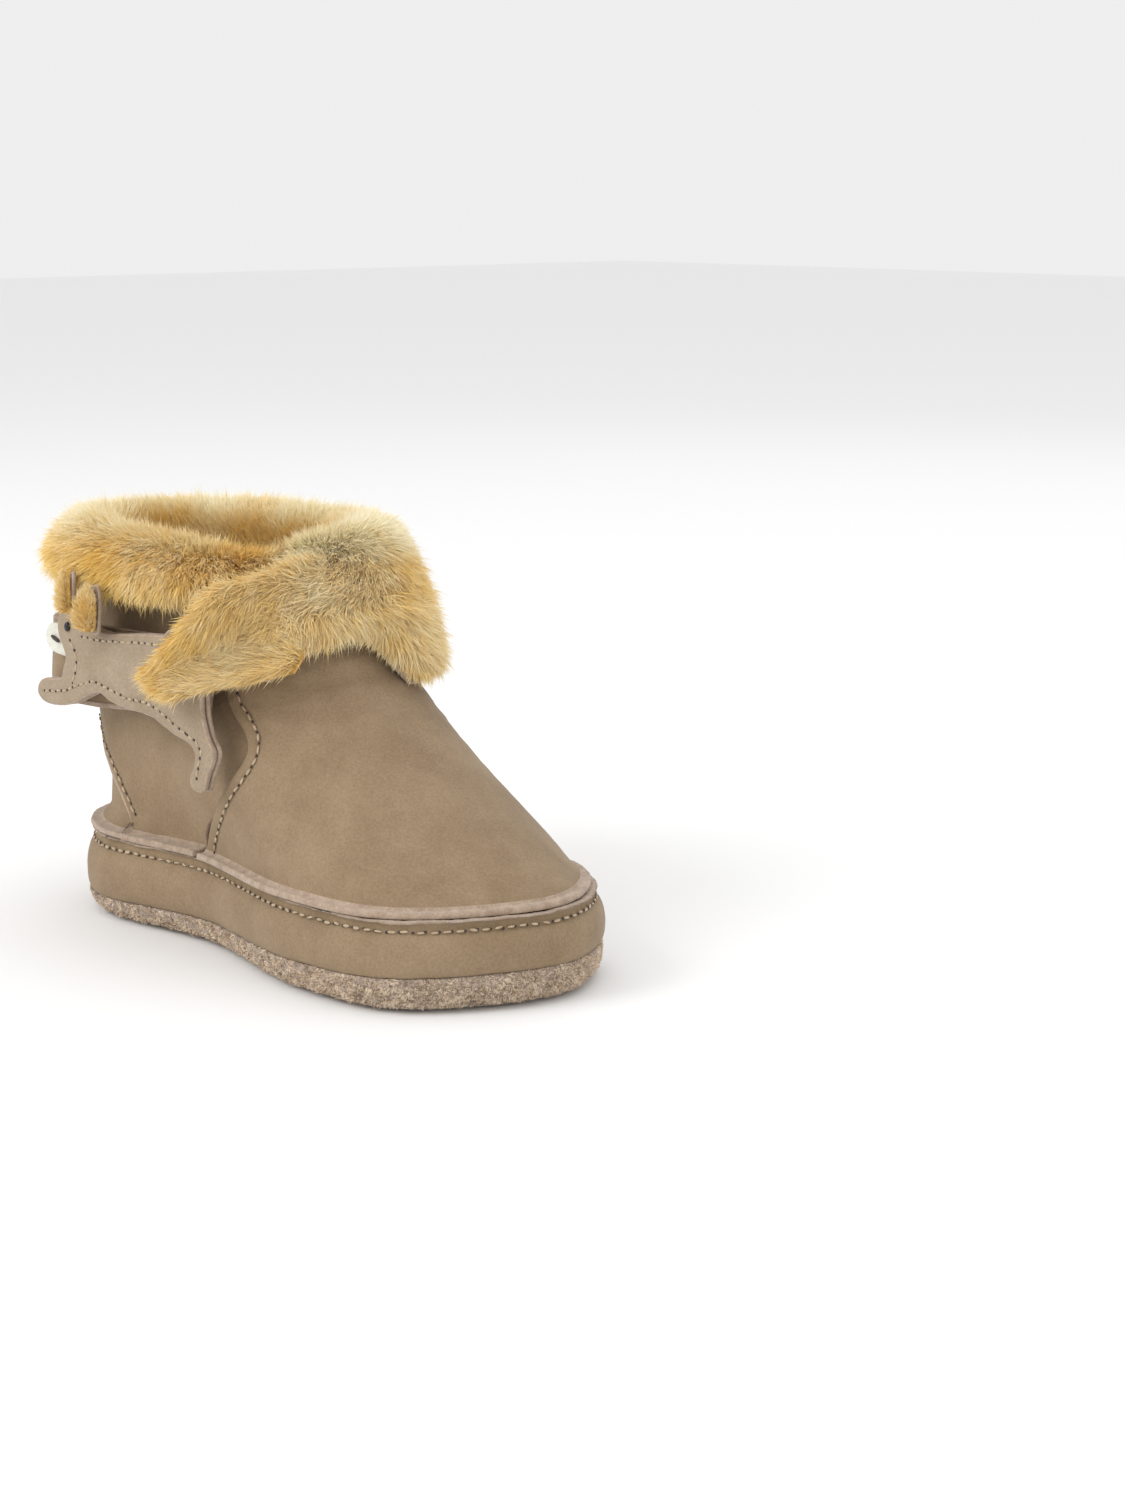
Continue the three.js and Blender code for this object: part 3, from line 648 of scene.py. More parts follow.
def soleSlab(name, rings, across, bottomHeight, topHeight, rough, finishes, **rest):
    # closed slab: rings of (inset, height) from the bottom to the top, with fine grids closing both ends
    count = len(soleTurns)
    columns = soleLook["columns"]
    loops = np.stack([outlineAt(soleTurns, inset, height(soleTurns) if callable(height) else height)
                      for inset, height in rings])
    points = [loops.reshape(-1, 3)]
    faces = [ringFaces(len(loops), count)]
    used = loops.size // 3
    shares = np.linspace(0, 1, across + 1)[1:-1]
    for loop, heightAt, flip in ((0, bottomHeight, True), (len(loops) - 1, topHeight, False)):
        outerIds = loop * count + np.arange(1, columns)
        innerIds = loop * count + (count - np.arange(1, columns))
        a, b = loops[loop][1:columns], loops[loop][count - np.arange(1, columns)]
        inside = a[:, None] * (1 - shares[None, :, None]) + b[:, None] * shares[None, :, None]
        inside[..., 2] = heightAt(inside[..., 0], inside[..., 1], shares[None, :] + 0 * inside[..., 2])
        ids = used + np.arange(inside.size // 3).reshape(inside.shape[:2])
        used += inside.size // 3
        points.append(inside.reshape(-1, 3))
        table = np.concatenate([outerIds[:, None], ids, innerIds[:, None]], 1)
        quads = gridFaces(table)
        heelId, toeId = loop * count, loop * count + columns
        ends = [(heelId, table[0, k], table[0, k + 1]) for k in range(table.shape[1] - 1)]
        ends += [(toeId, table[-1, k + 1], table[-1, k]) for k in range(table.shape[1] - 1)]
        quads = quads if flip else quads[:, ::-1]
        ends = [e[::-1] for e in ends] if flip else ends
        faces += [quads, ends]
    points = np.concatenate(points)
    points = rough(points) if rough else points
    allFaces = [list(f) for part in faces for f in part]
    return putMesh(name, points, allFaces, finishes, **rest)


def roundInset(profile, steps):
    # a finer profile through a few points
    line = np.array(profile, float)
    rows = np.column_stack([np.linspace(0, 1, len(line)), line])
    return smoothTable(rows, np.linspace(0, 1, steps))


def soleRough(points):
    # napped side of the sole; the flat underside keeps its height except for the pressed ring
    lifted = ease(0.15, 1.2, points[:, 2])
    away = unit(np.stack([points[:, 0] - soleMiddle, points[:, 1] * 3, 0 * points[:, 0]], 1))
    grit = cloudy(points, soleLook["grit"], 1)
    grit += soleLook["clumpShare"] * cloudy(points, soleLook["clump"], 2)
    points = points + away * (soleLook["edgeRough"] * grit * lifted)[:, None]
    fromMiddle = np.hypot(points[:, 0] - soleLook["ringX"], points[:, 1] - soleLook["ringY"])
    fromRing = (fromMiddle - soleLook["ringRadius"]) / soleLook["ringWidth"]
    press = soleLook["ringDepth"] * np.exp(-(fromRing**2))
    pits = soleLook["faceRough"] * np.clip(cloudy(points, soleLook["grit"], 4) + 0.3, 0, 1)
    under = points[:, 2] < 0.1
    points[:, 2] += np.where(under, press + pits, 0)
    return points


def sideHeight(step):
    # heights up the turned-up side, in step with the rim
    low, below, steps = soleLook["sideLow"], soleLook["sideBelowRim"], soleLook["sideRings"]
    return lambda s: low + (rimHeight(s) - below - low) * (step + 1) / steps


outsoleRings = soleLook["under"] + [(0.3 - 0.1 * k, sideHeight(k)) for k in range(soleLook["sideRings"])]
outsoleRings += [(0.1, rimHeight), (0.9, lambda s: rimHeight(s) + 0.1), (2.2, rimHeight)]
outsoleRings += [(2.8, 3.1), (5, 2.1)]
soleSlab(
    "outsole_suede", outsoleRings, soleLook["across"],
    lambda x, y, v: 0 * x, lambda x, y, v: 0 * x + last["soleFloor"],
    soleRough, [soleSuede], slot="suede", replaces=["outsole"],
)


def raiseBy(points, look, seed):
    # small bumps straight up
    return look["rough"] * cloudy(points, look["grain"], seed)[:, None] * np.array([0, 0, 1.0])


foam = soleSlab(
    "midsole_pad", foamLook["rings"], foamLook["across"],
    lambda x, y, v: 0 * x + foamLook["bottom"], lambda x, y, v: 0 * x + foamLook["top"],
    lambda p: p + raiseBy(p, foamLook, 8), [foamFinish], slot="foam", replaces=["foam_midsole"],
)
insole = soleSlab(
    "insole_pad", insoleLook["rings"], insoleLook["across"],
    lambda x, y, v: 0 * x + insoleLook["bottom"],
    lambda x, y, v: insoleLook["top"] + insoleLook["crown"] * np.sin(np.pi * v) ** 0.5,
    lambda p: p + raiseBy(p, insoleLook, 9) * ease(8, 9.6, p[:, 2])[:, None],
    [pileBacking], slot="pile", replaces=["insole_pile"],
)
print("stage: sole")

# side wall
wallLook = {
    # inset against height share, up the outside, over the turned-out top and down inside
    "outside": [(0.1, 0), (-0.45, 0.12), (-0.6, 0.35), (-0.35, 0.55), (0.3, 0.72), (1.25, 0.86), (1.6, 0.93),
                (1.15, 0.975), (0.75, 1)],
    "inside": [(1.6, 1.02), (2.6, 1), (3, 0.9), (1.7, 0.66), (1.2, 0.35), (1.5, 0)],
    "stations": 620, "top": 16.3, "outsideRows": 30, "insideRows": 14,
    # rows of the section: the fuzzy ones, and where the raw edge and the flesh side start
    "fuzzyRows": slice(24, 34), "edgeRow": 26, "fleshRow": 36, "wave": 0.22, "fuzz": 0.1,
    "stitchShare": 0.83, "stitchInset": 0.1, "stitchDip": 0.3, "stitchDipWidth": 0.7,
    # the short upright seam on the inner side: ridge and cut
    "seamX": 52, "seamReach": 8, "ridge": 0.3, "ridgeAt": 0.75, "ridgeWidth": 0.5,
    "cut": 0.6, "cutWidth": 0.28,
}
wallTurns = np.arange(wallLook["stations"]) / wallLook["stations"]
wallSection = np.concatenate([
    roundInset(wallLook["outside"], wallLook["outsideRows"]),
    roundInset(wallLook["inside"], wallLook["insideRows"]),
])


def wallPoint(s, inset, share):
    low = rimHeight(s) + 0.2
    return outlineAt(s, inset, low + (wallLook["top"] - low) * share)


wallStitchTurns = np.linspace(0, 1, 900)
# the stitches lie between two points of the outside
wallStitchInset = np.interp(wallLook["stitchShare"], [0.72, 0.86], [0.3, 1.25]) - wallLook["stitchInset"]
wallStitch = wallPoint(wallStitchTurns, wallStitchInset, wallLook["stitchShare"])


def makeWall():
    loops = np.stack([wallPoint(wallTurns, inset, share) for inset, share in wallSection])
    ups = np.gradient(loops, axis=0)
    rounds = np.roll(loops, -1, 1) - np.roll(loops, 1, 1)
    away = unit(np.cross(rounds, ups))
    fuzzy = wallLook["fuzzyRows"]
    edge = np.zeros(loops.shape[:2])
    edge[fuzzy] = 1
    lift = 0.16 * cloudy(loops, 7, 11) + 0.05 * cloudy(loops, 1.6, 12)
    lift += edge * wallLook["fuzz"] * cloudy(loops, 0.8, 13)
    seamTurn = float(stationAt(wallLook["seamX"], last["seam"], False))
    seamPlace = outlineAt(seamTurn, 0, 0)[..., :2]
    across = np.linalg.norm(loops[..., :2] - seamPlace, axis=-1)
    beside = np.abs(loops[..., 0] - seamPlace[0])
    ridge = wallLook["ridge"] * np.exp(-((beside - wallLook["ridgeAt"]) / wallLook["ridgeWidth"]) ** 2)
    cut = wallLook["cut"] * np.exp(-(beside / wallLook["cutWidth"]) ** 2)
    lift += np.where(across < wallLook["seamReach"], ridge - cut, 0)
    dip = np.exp(-((nearLine(loops, wallStitch) / wallLook["stitchDipWidth"]) ** 2))
    lift -= wallLook["stitchDip"] * dip
    loops = loops + away * lift[..., None]
    loops[fuzzy, :, 2] += wallLook["wave"] * cloudy(loops[fuzzy], 5, 14)
    count, stations = loops.shape[:2]
    index = np.arange(count * stations).reshape(count, stations)
    index = np.concatenate([index, index[:, :1]], 1)
    index = np.concatenate([index, index[:1]], 0)
    kinds = np.zeros((count, stations))
    kinds[wallLook["edgeRow"]:wallLook["fleshRow"]] = 2
    kinds[wallLook["fleshRow"]:] = 1
    putMesh("side_wall_leather", loops, gridFaces(index), [nubuck, fleshSide, rawEdge], kinds.ravel(),
            slot="nubuck", replaces=["side_wall"])
    outward = outlineAt(wallStitchTurns, -1, 0) - outlineAt(wallStitchTurns, 0, 0)
    sewRow("side_wall_stitches", wallStitch, unit(outward + np.array([0, 0, 0.45])))


makeWall()
print("stage: side wall")

# upper leather: vamp, inner side and ankle band in one piece
upperLook = {
    # front edge of the opening on the outer side, height against x
    "slit": [(17, 51), (22, 54), (30, 61), (36, 66.3), (39.8, 67.9), (43, 65.8), (46, 62), (50, 59.4),
             (60, 58.6), (73, 59.5)],
    "seamX": 29, "vampColumns": 300, "bandColumns": 170, "rows": 84, "bandFrontX": 57,
    # how far the band stands off the last: side, x, offset
    "bandOffsets": [("inner", 29, 0), ("inner", 20, 0.6), ("inner", 10, 2.6), ("heel", 0, 5.4),
                    ("outer", 4, 7.2), ("outer", 11, 7.2), ("outer", 20, 3.8), ("outer", 30, 1.2),
                    ("outer", 42, 0.5), ("outer", 57, 1.6)],
    # heights against turns
    "bandBottoms": [(-0.245, 17.4), (-0.23, 19.8), (-0.2, 25), (-0.165, 29.5), (-0.12, 34.5), (-0.06, 39),
                    (0, 40.6), (0.12, 41.4), (0.24, 42.3), (0.36, 45.4)],
    "bandTops": [(-0.245, 66), (-0.235, 63), (-0.225, 61), (-0.1, 59), (0, 57.2), (0.24, 57.6),
                 (0.36, 59.6)],
    "joinTop": 66,  # height of the vamp where it runs into the band
    "lipFades": (17.4, 18.6), "middle": 45.0, "rawRows": 5,
    "creases": 0.45, "instepHeights": (30, 52), "instepFront": (50, 64), "smoothBelow": (17.5, 22),
    # stitches: inset from the edge, heights of the opening's row, turns and steps of the band's row
    "stitchInset": 2.3, "slitStitches": (19.5, 58), "slitSteps": 120,
    "bandInset": 2.4, "bandStitches": (-0.236, 0.34), "bandSteps": 260, "pulledSteps": 180, "sewnSteps": 170,
}
lipLook = {
    "rise": 1.3, "wave": 0.22, "fineWave": 0.16, "upWave": 0.35, "least": 0.05,
    # reach against turns from the heel, narrower there
    "reach": [(0, 0.45), (0.12, 0.6), (0.2, 0.85)],
    "rows": 7, "counterRows": 8,
}


def tableAt(entries):
    # turns and values from entries of side, x and value, read at one height of the shaft
    height = 50
    turns = {
        "inner": lambda x: float(stationAt(x, height, False)) - 1,
        "outer": lambda x: float(stationAt(x, height, True)),
        "heel": lambda x: 0.0,
    }
    return [(turns[side](x), value) for side, x, value in entries]


bandOffsets = tableAt(upperLook["bandOffsets"])


def slitTurn(z):
    return stationAt(smoothColumn(upperLook["slit"], z), z, True)


def lipRows(base, s, reach, top, steps):
    # rows of a bottom edge that rolls outward into a flange; reach may be 0 where there is none
    outward = outlineAt(s, -1, 0) - outlineAt(s, 0, 0)
    corner = base.copy()
    start = base + np.array([0, 0, lipLook["rise"]])
    wave = lipLook["wave"] * cloudy(base, 4, 21) + lipLook["fineWave"] * cloudy(base, 1.3, 22)
    reach = reach * lineTable(lipLook["reach"], np.minimum(s % 1, 1 - s % 1))
    tip = base + outward * (reach + wave * (reach > 0))[:, None]
    tip[:, 2] = np.where(reach > lipLook["least"], top + lipLook["upWave"] * wave, base[:, 2])
    t = np.linspace(1, 0, steps)[:, None, None]
    return (1 - t) ** 2 * start + 2 * t * (1 - t) * corner + t**2 * tip


def upperGrid():
    vampU = np.linspace(0, 1, upperLook["vampColumns"])
    bandU = np.linspace(0, 1, upperLook["bandColumns"] + 1)[1:]
    u = np.concatenate([vampU, 1 + bandU])
    isBand = np.arange(len(u)) >= len(vampU)

    def turnsAt(z):
        # z holds one height per column
        start, seam = slitTurn(z), stationAt(upperLook["seamX"], z, False)
        end = 1 + stationAt(upperLook["bandFrontX"], z, True)
        return np.where(u <= 1, start + (seam - start) * u, seam + (end - seam) * (u - 1))

    def offsetsAt(s):
        return np.where(isBand, smoothColumn(bandOffsets, s - 1), 0)

    rough = turnsAt(np.full(len(u), upperLook["middle"]))
    low = np.where(isBand, smoothColumn(upperLook["bandBottoms"], rough - 1), last["seam"])
    low = np.maximum(low, last["seam"])
    join = upperLook["joinTop"]
    vampHigh = join + (last["top"] - join) * (1 - ease(0.9, 1, u))
    high = np.where(isBand, smoothColumn(upperLook["bandTops"], rough - 1), vampHigh)
    rows = []
    for share in np.linspace(0, 1, upperLook["rows"]):
        z = low + 0.6 + (high - low - 0.6) * share
        s = turnsAt(z)
        rows.append(skin(s, z, offsetsAt(s)))
    grid = np.stack(rows)
    sLow = turnsAt(low)
    base = skin(sLow, low, offsetsAt(sLow))
    reach = np.where(isBand, last["lip"] * (1 - ease(*upperLook["lipFades"], low)), last["lip"])
    lip = lipRows(base, sLow, reach, last["lipTop"], lipLook["rows"])
    return np.concatenate([lip[:-1], grid[2:]]), isBand


def slitStitchLine():
    z = np.linspace(*upperLook["slitStitches"], upperLook["slitSteps"])
    edge = skin(slitTurn(z), z, 0.0)
    ahead = unit(np.gradient(edge, axis=0))
    across = np.cross(skinNormal(slitTurn(z), z), ahead)
    across *= np.sign(across[:, :1] + 1e-9)
    moved = edge + across * upperLook["stitchInset"]
    s = stationAt(moved[:, 0], moved[:, 2], True)
    return skin(s, moved[:, 2], 0.0), skinNormal(s, moved[:, 2])


def bandStitchLine():
    # along the lower raw edge of the inner side and the band, from the side wall round to the strap
    s = np.linspace(*upperLook["bandStitches"], upperLook["bandSteps"])
    z = smoothColumn(upperLook["bandBottoms"], s) + upperLook["bandInset"]
    return skin(s, z, smoothColumn(bandOffsets, s)), skinNormal(s, z)


slitLine, slitNormals = slitStitchLine()
bandLine, bandNormals = bandStitchLine()


def makeUpper():
    grid, isBand = upperGrid()
    normals = gridNormals(grid)
    z, x = grid[..., 2], grid[..., 0]
    # soft folds over the instep, stretched across it, finer below the cuff
    instep = ease(*upperLook["instepHeights"], z) * ease(*upperLook["instepFront"], x) * (~isBand)[None]
    fold = cloudy(grid * np.array([1, 0.45, 2.2]), 7, 31)
    fold += 0.5 * cloudy(grid * np.array([1, 0.5, 2.4]), 3, 32)
    lift = upperLook["creases"] * fold * instep + 0.22 * cloudy(grid, 14, 33) + 0.06 * cloudy(grid, 2.2, 34)
    fade = ease(*upperLook["smoothBelow"], z)
    grid = grid + normals * (lift * fade)[..., None]
    grid = pucker(grid, [slitLine, bandLine[:upperLook["pulledSteps"]]])
    sheetMesh("upper_leather", grid, last["leather"], rawRows=upperLook["rawRows"], slot="nubuck",
              replaces=["vamp", "ankle_band"])
    sewRow("slit_stitches", slitLine, slitNormals)
    sewn = upperLook["sewnSteps"]
    sewRow("inner_edge_stitches", bandLine[:sewn], bandNormals[:sewn])


makeUpper()
print("stage: upper leather")

# heel counter and quarter, under the upper leather
quarterLook = {
    # the counter's edge: height against turns from the heel; the quarter's front edge: x against height
    "counterEdge": [(0, 40), (0.1, 36), (0.13, 32), (0.165, 28), (0.183, 23.5), (0.192, 19.0)],
    "front": [(17, 48.6), (21.5, 49.4), (30, 62), (38.5, 72), (46, 66), (50, 62), (60, 60), (73, 58.5)],
    "start": -0.24, "counterEnd": 0.192, "rearColumns": 240, "sideColumns": 90, "rows": 74,
    "offset": -1.8, "tuck": 1.25, "overlap": 3.4,
    "counterTurns": (-0.21, 0.215), "counterColumns": 230, "counterRows": 44, "counterTop": 42.5,
    "middle": 45.0, "sewnTurns": (0.105, 0.19), "stitchInset": 1.9, "rawRows": 5,
}


def makeCounter():
    s = np.linspace(*quarterLook["counterTurns"], quarterLook["counterColumns"])
    top = smoothColumn(quarterLook["counterEdge"], np.abs(s)) + quarterLook["overlap"]
    top = np.minimum(top, quarterLook["counterTop"])
    rows = []
    for share in np.linspace(0, 1, quarterLook["counterRows"]):
        z = last["seam"] + 0.6 + (top - last["seam"] - 0.6) * share
        rows.append(skin(s, z, quarterLook["offset"] - quarterLook["tuck"] * ease(18.2, 21, z)))
    base = skin(s, np.full(len(s), last["seam"]), quarterLook["offset"])
    reach = np.full(len(s), last["lip"] - quarterLook["offset"])
    lip = lipRows(base, s, reach, last["lipTop"] - 0.05, lipLook["counterRows"])
    grid = np.concatenate([lip[:-1], np.stack(rows)[2:]])
    grid = grid + gridNormals(grid) * (0.12 * cloudy(grid, 10, 41) * ease(18, 22, grid[..., 2]))[..., None]
    sheetMesh("heel_counter_leather", grid, 1.0, rawRows=quarterLook["rawRows"], slot="nubuck",
              replaces=["heel_counter"])


def quarterStitchLine():
    s = np.linspace(*quarterLook["sewnTurns"], 60)
    z = smoothColumn(quarterLook["counterEdge"], s)
    edge = skin(s, z, quarterLook["offset"])
    ahead = unit(np.gradient(edge, axis=0))
    across = np.cross(ahead, skinNormal(s, z))
    across *= np.sign(across[:, 2:] + 0.3)
    moved = edge + across * quarterLook["stitchInset"]
    turns = stationAt(moved[:, 0], moved[:, 2], True)
    return skin(turns, moved[:, 2], quarterLook["offset"]), skinNormal(turns, moved[:, 2])


def makeQuarter():
    u = np.concatenate([np.linspace(0, 1, quarterLook["rearColumns"]),
                        1 + np.linspace(0, 1, quarterLook["sideColumns"] + 1)[1:]])
    isSide = u > 1
    start, end = quarterLook["start"], quarterLook["counterEnd"]

    def turnsAt(z):
        front = stationAt(smoothColumn(quarterLook["front"], z), z, True)
        return np.where(isSide, end + (front - end) * (u - 1), start + (end - start) * u)

    rough = turnsAt(np.full(len(u), quarterLook["middle"]))
    low = smoothColumn(quarterLook["counterEdge"], np.abs(rough))
    low = np.where(isSide | (low < 19.2), last["seam"], np.maximum(low, last["seam"]))
    rows = []
    for share in np.linspace(0, 1, quarterLook["rows"]):
        z = low + 0.6 + (last["top"] - low - 0.6) * share
        rows.append(skin(turnsAt(z), z, quarterLook["offset"]))
    sLow = turnsAt(low)
    base = skin(sLow, low, quarterLook["offset"])
    reach = np.where(low < last["seam"] + 0.3, last["lip"] - quarterLook["offset"], 0)
    lip = lipRows(base, sLow, reach, last["lipTop"], lipLook["rows"])
    grid = np.concatenate([lip[:-1], np.stack(rows)[2:]])
    lift = 0.25 * cloudy(grid * np.array([1, 1, 0.6]), 12, 51) + 0.05 * cloudy(grid, 2.2, 52)
    grid = grid + gridNormals(grid) * (lift * ease(18, 23, grid[..., 2]))[..., None]
    line, normals = quarterStitchLine()
    grid = pucker(grid, [line])
    sheetMesh("quarter_leather", grid, last["leather"], rawRows=quarterLook["rawRows"], slot="nubuck",
              replaces=["quarter"])
    sewRow("quarter_stitches", line, normals)


makeCounter()
makeQuarter()
print("stage: counter and quarter")

# plush
hairLook = {
    # width and how deep the root sits, how far tips are drawn to their tuft, and the share that lead a tuft
    "width": 0.17, "sink": 0.5, "pull": 0.24, "tufts": 0.02,
    # spread of direction, lean (radians), length (share) and tone
    "combSpread": 0.35, "leanSpread": 0.18, "lengthSpread": 0.22, "toneSpread": 0.09,
}


def growHair(name, roots, normals, comb, length, lean, tone, body="bootie", look=hairLook, seed=1):
    # flat tapered hairs that leave along the normal, lean over along comb and gather into tufts
    rng = np.random.default_rng(seed)
    count = len(roots)
    normals = unit(normals)
    comb = unit(comb - (comb * normals).sum(1, keepdims=True) * normals)
    comb = unit(comb + look["combSpread"] * rng.standard_normal((count, 3)))
    lean = np.clip(lean + look["leanSpread"] * rng.standard_normal(count), 0.05, 1.35)[:, None]
    length = (length * (1 + look["lengthSpread"] * rng.standard_normal(count)).clip(0.45, 1.5))[:, None]
    start = roots - normals * look["sink"]
    middle = start + length * 0.55 * (normals * np.cos(lean * 0.55) + comb * np.sin(lean * 0.55))
    tip = middle + length * 0.5 * (normals * np.cos(lean * 1.25) + comb * np.sin(lean * 1.25))
    # tufts
    picks = rng.choice(count, max(2, int(count * look["tufts"])), replace=False)
    tree = KDTree(len(picks))
    for k, p in enumerate(picks):
        tree.insert(Vector(roots[p]), k)
    tree.balance()
    near = np.array([tree.find(Vector(p))[1] for p in roots])
    goal = tip[picks][near]
    pull = look["pull"] * (0.6 + 0.8 * rng.random((count, 1)))
    tip = tip + (goal - tip) * pull
    middle = middle + (middle[picks][near] - middle) * pull * 0.3
    # width across the hair, its flat side facing out
    ahead = unit(tip - start)
    side = np.cross(ahead, normals) + 0.45 * rng.standard_normal((count, 3))
    side = unit(side - (side * ahead).sum(1, keepdims=True) * ahead)
    facing = np.cross(side, ahead)
    side *= np.where((facing * normals).sum(1, keepdims=True) < 0, -1, 1)
    width = look["width"] * (0.75 + 0.5 * rng.random((count, 1)))
    points = np.stack([
        start - side * width * 0.5, start + side * width * 0.5,
        middle - side * width * 0.42, middle + side * width * 0.42,
        tip,
    ], 1)
    base = (np.arange(count) * 5)[:, None]
    quads = base + np.array([[0, 1, 3, 2]])
    ends = base + np.array([[2, 3, 4]])
    mesh = bpy.data.meshes.new(name)
    mesh.vertices.add(count * 5)
    mesh.vertices.foreach_set("co", ((points + shift) / 1000).astype(np.float32).ravel())
    corners = np.concatenate([quads, ends], 1)
    mesh.loops.add(count * 7)
    mesh.loops.foreach_set("vertex_index", corners.ravel().astype(np.int32))
    mesh.polygons.add(count * 2)
    starts = (np.arange(count) * 7)[:, None] + np.array([[0, 4]])
    mesh.polygons.foreach_set("loop_start", starts.ravel().astype(np.int32))
    mesh.polygons.foreach_set("use_smooth", np.ones(count * 2, bool))
    # tone across, way along the hair up
    tone = np.clip(tone + look["toneSpread"] * rng.standard_normal(count), 0.03, 0.97)
    low, high = tone - 0.02, tone + 0.02
    ones = np.ones(count)
    corner = np.stack([
        low, 0.03 * ones, high, 0.03 * ones, high, 0.55 * ones, low, 0.55 * ones,
        low, 0.55 * ones, high, 0.55 * ones, tone, 0.97 * ones,
    ], 1)
    layer = mesh.uv_layers.new(name="OFBake")
    layer.uv.foreach_set("vector", corner.astype(np.float32).ravel())
    mesh.materials.append(plush)
    mesh.update(calc_edges=True)
    mesh.validate()
    made = bpy.data.objects.new(name, mesh)
    bpy.context.scene.collection.objects.link(made)
    if body:
        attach(made, body)
    return made


def sampleGrid(grid, count, rng, weight=None):
    # random places on a grid of points, even over its area: roots, normals, and the grid's own directions
    across, down = np.gradient(grid, axis=1), np.gradient(grid, axis=0)
    area = np.linalg.norm(np.cross(across, down), axis=-1)
    cell = area[:-1, :-1] + area[1:, 1:]
    if weight is not None:
        cell = cell * weight[:-1, :-1]
    order = rng.choice(cell.size, count, p=(cell / cell.sum()).ravel())
    i, j = np.divmod(order, cell.shape[1])
    fi, fj = rng.random((count, 1)), rng.random((count, 1))

    def at(values):
        return (values[i, j] * (1 - fi) * (1 - fj) + values[i + 1, j] * fi * (1 - fj)
                + values[i, j + 1] * (1 - fi) * fj + values[i + 1, j + 1] * fi * fj)

    return at(grid), at(unit(np.cross(across, down))), unit(at(across)), unit(at(down)), i / grid.shape[0]


cuffLook = {
    # offset against height of the backing under the hairs: inside leg, over the top, down the outside
    "section": [(-5.2, 66), (-5.4, 70), (-4.9, 73.4), (-3.2, 75.4), (-0.4, 76.2), (2.4, 75.6), (4.3, 73.6),
                (5.3, 70.6), (5.7, 67.6), (5.5, 65.2), (4.9, 63.6), (3.9, 62.6), (2.6, 62.3)],
    "back": [(2.2, 63.2), (2.2, 66), (2.2, 69), (2.1, 72.4), (-3.2, 72.4), (-3.6, 69.5), (-3.9, 66.5)],
    "hanging": 62, "rearBottom": 66.4, "meetX": 45,
    # the rear cuff runs on under the front one; heights against x
    "rearEnd": [(62.2, 57), (66, 59.8), (70, 63), (79, 63.4)],
    "frontEnd": [(50, 66.5), (60, 64), (63.5, 60.4), (66, 61.6), (70.5, 64.6), (79, 65.4)],
    # the rim dips towards the opening
    "dip": [(-0.2, 0), (0.2, 0.4), (0.32, 1.6), (0.4, 3.0), (0.44, 3.8), (0.452, 2.6), (0.47, 0.6),
            (0.5, 0)],
    "frontBottom": [(0.36, 53), (0.41, 55.4), (0.44, 57), (0.47, 60), (0.49, 57.5), (0.52, 50), (0.55, 49.5),
                    (0.62, 54), (0.7, 58), (0.78, 62.8)],
    "standOff": [(0.4, 6.2), (0.43, 2.4), (0.455, 0)],
    "sectionRows": 34, "splitRow": 16, "columns": 130,
    "hairs": 60000, "length": 4.6, "topLength": 3.4, "lean": 1.1, "topLean": 0.8, "topFrom": (68, 75),
    "skinOffset": 1.6, "skinThickness": 0.9, "skinTop": 1.5, "skinBelow": 0.5,
}


def rearTurns(z, u):
    start = stationAt(cuffLook["meetX"], z, False) - 0.998
    return start + (stationAt(lineTable(cuffLook["rearEnd"], z), z, True) - start) * u


def frontTurns(z, u):
    start = stationAt(lineTable(cuffLook["frontEnd"], z), z, True)
    return start + (stationAt(cuffLook["meetX"], z, False) - 0.002 - start) * u


def rearBottom(s):
    return np.full(np.shape(s), cuffLook["rearBottom"])


def frontBottom(s):
    return lineTable(cuffLook["frontBottom"], s)


def standOff(s, z):
    return lineTable(cuffLook["standOff"], s) * np.interp(z, [58, 68], [1, 0])


def noStandOff(s, z):
    return 0 * s


def cuffGrid(section, columns, turns, bottom, lift, seed):
    # rows follow the section, columns run round the shaft; the ends round off
    u = np.linspace(0, 1, columns)
    line = np.array(section, float)
    middle = line.mean(0)
    roundOff = 1 - 0.45 * np.exp(-u * columns / 3.0) - 0.45 * np.exp(-(1 - u) * columns / 3.0)
    rows = []
    for offset, height in line:
        hangs = offset > 2 and height < last["top"]
        share = (last["top"] - height) / (last["top"] - cuffLook["hanging"])
        s = turns(np.full(columns, float(height)), u)
        z = last["top"] - share * (last["top"] - bottom(s)) if hangs else np.full(columns, float(height))
        s = turns(z, u)
        away = middle[0] + (offset - middle[0]) * roundOff
        z = z - lineTable(cuffLook["dip"], s) * np.clip((height - 63) / 10, 0, 1)
        rows.append(skin(s, z, away + (lift(s, z) if hangs else 0)))
    grid = np.stack(rows)
    return grid + unit(grid - grid.mean(0)) * (0.35 * cloudy(grid, 7, seed))[..., None]


def cuffBase(name, turns, bottom, lift, seed, replaces):
    section = np.concatenate([roundInset(cuffLook["section"], cuffLook["sectionRows"]), cuffLook["back"]])
    grid = cuffGrid(section, cuffLook["columns"], turns, bottom, lift, seed)
    rows, columns = grid.shape[:2]
    index = np.arange(rows * columns).reshape(rows, columns)
    faces = [list(f) for f in gridFaces(np.concatenate([index, index[:1]], 0))[:, ::-1]]
    faces += [index[:, 0].tolist(), index[::-1, -1].tolist()]
    made = putMesh(name, grid, faces, [pileBacking], slot="pile", replaces=replaces)
    return grid[: cuffLook["sectionRows"]]
